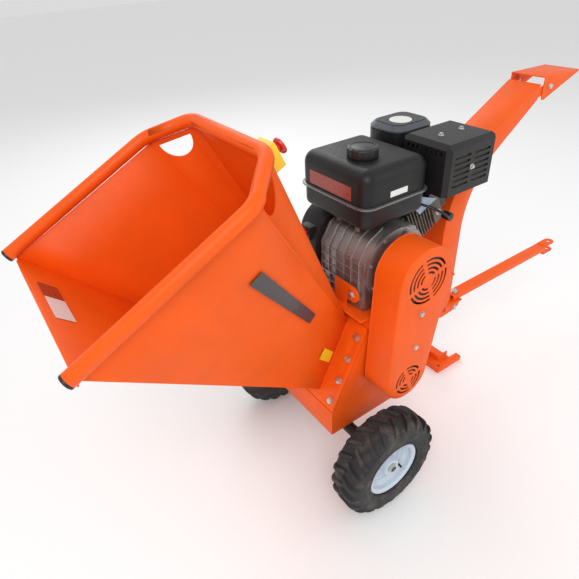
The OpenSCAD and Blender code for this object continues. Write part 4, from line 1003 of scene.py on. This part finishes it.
    def _muffler_guard(self, machine: Machine) -> None:
        """Builds the slotted sheet guard with chamfered edges and its screws."""
        (x0, y0, z0), (x1, y1, z1) = self.guard_lo, self.guard_hi
        shell = Bench.box(at(x0, y0, z0), at(x1, y1, z1))
        top = z1 * MM
        Bench.round_edges(shell, lambda a, b: min(a.z, b.z) > top - MERGE, 0.013, 1)
        Bench.round_edges(shell, lambda a,
                          b: abs(a.x - b.x) < MERGE and abs(a.y - b.y) < MERGE and abs(a.z - b.z) > 0.08,
                          0.012, 1)
        Bench.pick_faces(shell, lambda c, n: n.z < -0.9)
        bpy.ops.mesh.delete(type="FACE")
        Bench.close()
        Bench.thicken(shell, 0.0015)
        lining = Bench.box(at(x0 + 6, y0 + 6, z0 + 14), at(x1 - 6, y0 + 8, z1 - 12))
        machine.hang(lining, "muffler_heat_sheet", "chassis", DARK)
        cutters = []
        for col in range(2):
            for row in range(6):
                x, z = x0 + 24 + col * 78, z0 + 22 + row * 15.5
                cutters.append(Bench.box(at(x, y0 - 3, z), at(x + 62, y0 + 5, z + 6.5)))
        for k in range(8):
            y = y0 + 24 + k * 16
            cutters.append(Bench.box(at(x0 - 3, y, z1 - 30), at(x0 + 5, y + 7, z1 - 19)))
        for cutter in cutters:
            Bench.bevel(cutter, 0.0024, 3)
        Bench.cut(shell, Bench.join(cutters))
        machine.hang(shell, "muffler_guard_slotted", "chassis", BLACK, "muffler_guard")
        screws = []
        for place, axis in ((at(300, -92, z1), (0, 0, 1)), (at(380, -92, z1), (0, 0, 1)),
                            (at(335.5, y0, z0 + 66), (0, -1, 0))):
            screws.append(self._screw(place, Vector(axis)))
        machine.hang(Bench.join(screws), "muffler_guard_screws", "chassis", ZINC)

    @staticmethod
    def _screw(place: Vector, axis: Vector) -> bpy.types.Object:
        """Builds a hexagon screw with its flange."""
        flange = Bench.lathe([(0, 0), (0.0078, 0), (0.0074, 0.0014), (0.0052, 0.002), (0, 0.002)], place,
                             axis, 32)
        head = Bench.rod(place + axis * 0.001, place + axis * 0.0062, 0.0054, 6, 0.0007)
        return Bench.join([flange, head])

    def _cover_ribs(self, machine: Machine) -> None:
        """Adds the grid of cast ribs on the crankcase's front."""
        profile = ((30, 614), (23, 614), (15.2, 690), (15.2, 762), (48.5, 816), (99, 843), (99, 834),
                   (54, 808), (24, 758), (24, 690))
        ribs = [Bench.bevel(Bench.prism([at(x, y, z) for x, z in profile], (0, 0.004, 0)), 0.0008, 1)
                for y in (-100, -68, -36, -4, 28, 60)]
        for z in (640, 668, 696, 724, 752):
            ribs.append(Bench.bevel(Bench.box(at(17, -104, z), at(30, 64, z + 4)), 0.0008, 1))
        machine.hang(Bench.join(ribs), "crankcase_ribs", "chassis", ALUMINIUM)

    def _wiring(self, machine: Machine) -> None:
        """Lays the ignition lead, the switch wire and the fuel hose, each held at both ends."""
        lead = [at(300, -150, 822), at(300, -158, 824), at(272, -160, 850), at(236, -120, 872),
                at(214, -30, 872), at(206, 60, 858), at(196, 82, 846)]
        machine.hang(Bench.wire(lead, 0.0035), "ignition_lead", "chassis", PLASTIC)
        plug_lo, plug_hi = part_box("spark_plug")
        px, pz = (plug_lo[0] + plug_hi[0]) / 2, (plug_lo[2] + plug_hi[2]) / 2
        boot = Bench.rod(Vector((px, plug_lo[1] + 0.022, pz)), Vector((px, plug_lo[1] - 0.006, pz)), 0.0125,
                         32, 0.002)
        machine.hang(boot, "plug_boot", "chassis", PLASTIC)
        plate = Bench.prism([at(215, -90, 864), at(246, -90, 884), at(318, -90, 858), at(251, -90, 827)],
                            (0, 0.003, 0))
        # Painted sheen: the fin plate is silver metal tinted blue to stand in for a reflection.
        machine.hang(Bench.bevel(plate, 0.0008, 1), "fin_plate", "chassis", SILVER_TRIM_PAINTED_SHEEN)
        switch = [at(14, 88, 700), at(12, 66, 690), at(22, 40, 668), at(24, 10, 650), at(30, -30, 642),
                  at(34, -60, 638)]
        machine.hang(Bench.wire(switch, 0.0016), "switch_wire", "chassis", PLASTIC)
        hose = [at(180, 40, 884), at(184, 46, 872), at(206, 52, 866), at(236, 50, 872), at(252, 48, 880)]
        machine.hang(Bench.wire(hose, 0.004), "fuel_hose", "chassis", PLASTIC)


@dataclass
class Studio:
    """Floor, lights and camera."""

    camera_at: Tuple[float, float, float] = (-1.004945, -0.9537, 1.4740)
    yaw_deg: float = -33.1
    down_deg: float = 34.4
    roll_deg: float = -3.5
    lens_mm: float = 31.1

    def build(self) -> None:
        """Builds the studio."""
        self._camera()
        self._floor()
        self._lights()

    def _camera(self) -> None:
        """Places the camera."""
        a, e, r = (math.radians(v) for v in (self.yaw_deg, self.down_deg, self.roll_deg))
        ahead = Vector((-math.sin(a) * math.cos(e), math.cos(a) * math.cos(e), -math.sin(e)))
        right = Vector((math.cos(a), math.sin(a), 0))
        up = right.cross(ahead)
        image_right = right * math.cos(r) + up * math.sin(r)
        image_up = -right * math.sin(r) + up * math.cos(r)
        camera = bpy.data.cameras.new("camera")
        camera.lens = self.lens_mm
        camera.sensor_width = 36.0
        camera.clip_end = 60.0
        obj = bpy.data.objects.new("camera", camera)
        bpy.context.scene.collection.objects.link(obj)
        obj.matrix_world = Matrix.Translation(self.camera_at) @ Matrix((image_right, image_up,
                -ahead)).transposed().to_4x4()
        bpy.context.scene.camera = obj

    def _floor(self) -> None:
        """Lays the pale floor."""
        Bench.begin()
        bpy.ops.mesh.primitive_plane_add(size=40, location=(0, 0, 0))
        floor = bpy.context.active_object
        floor.name = "floor"
        paint = bpy.data.materials.new("floor_paint")
        paint.use_nodes = True
        shader = paint.node_tree.nodes["Principled BSDF"]
        shader.inputs["Base Color"].default_value = (0.95, 0.95, 0.95, 1)
        shader.inputs["Roughness"].default_value = 0.7
        floor.data.materials.append(paint)
        floor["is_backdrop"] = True

    def _lights(self) -> None:
        """Sets the soft lights and the even surroundings."""
        for name, place, size, power in (("key", (-2.2, -2.4, 3.6), 2.6, 80), ("fill", (3.0, -2.6, 2.2), 3.0,
                22), ("back", (1.0, 3.2, 3.2), 2.6, 42)):
            lamp = bpy.data.lights.new(name, "AREA")
            lamp.size = size
            lamp.energy = power
            obj = bpy.data.objects.new(name, lamp)
            bpy.context.scene.collection.objects.link(obj)
            obj.location = place
            obj.rotation_euler = (Vector((0, 0, 0.5)) - Vector(place)).to_track_quat("-Z", "Y").to_euler()
        world = bpy.data.worlds.new("surroundings")
        world.use_nodes = True
        world.node_tree.nodes["Background"].inputs["Color"].default_value = (1, 1, 1, 1)
        world.node_tree.nodes["Background"].inputs["Strength"].default_value = 0.71
        bpy.context.scene.world = world
        bpy.context.scene.view_settings.view_transform = "Standard"


def main() -> None:
    """Builds the machine in order."""
    machine = Machine()
    machine.dress_nodes()
    Studio().build()
    for part in (SheetMetal(), Hopper(), BeltGuard(), Wheels(), Engine()):
        part.build(machine)
        LOG.info("%s done", type(part).__name__)


if __name__ == "__main__":
    logging.basicConfig(level=logging.INFO, format="%(message)s")
    main()
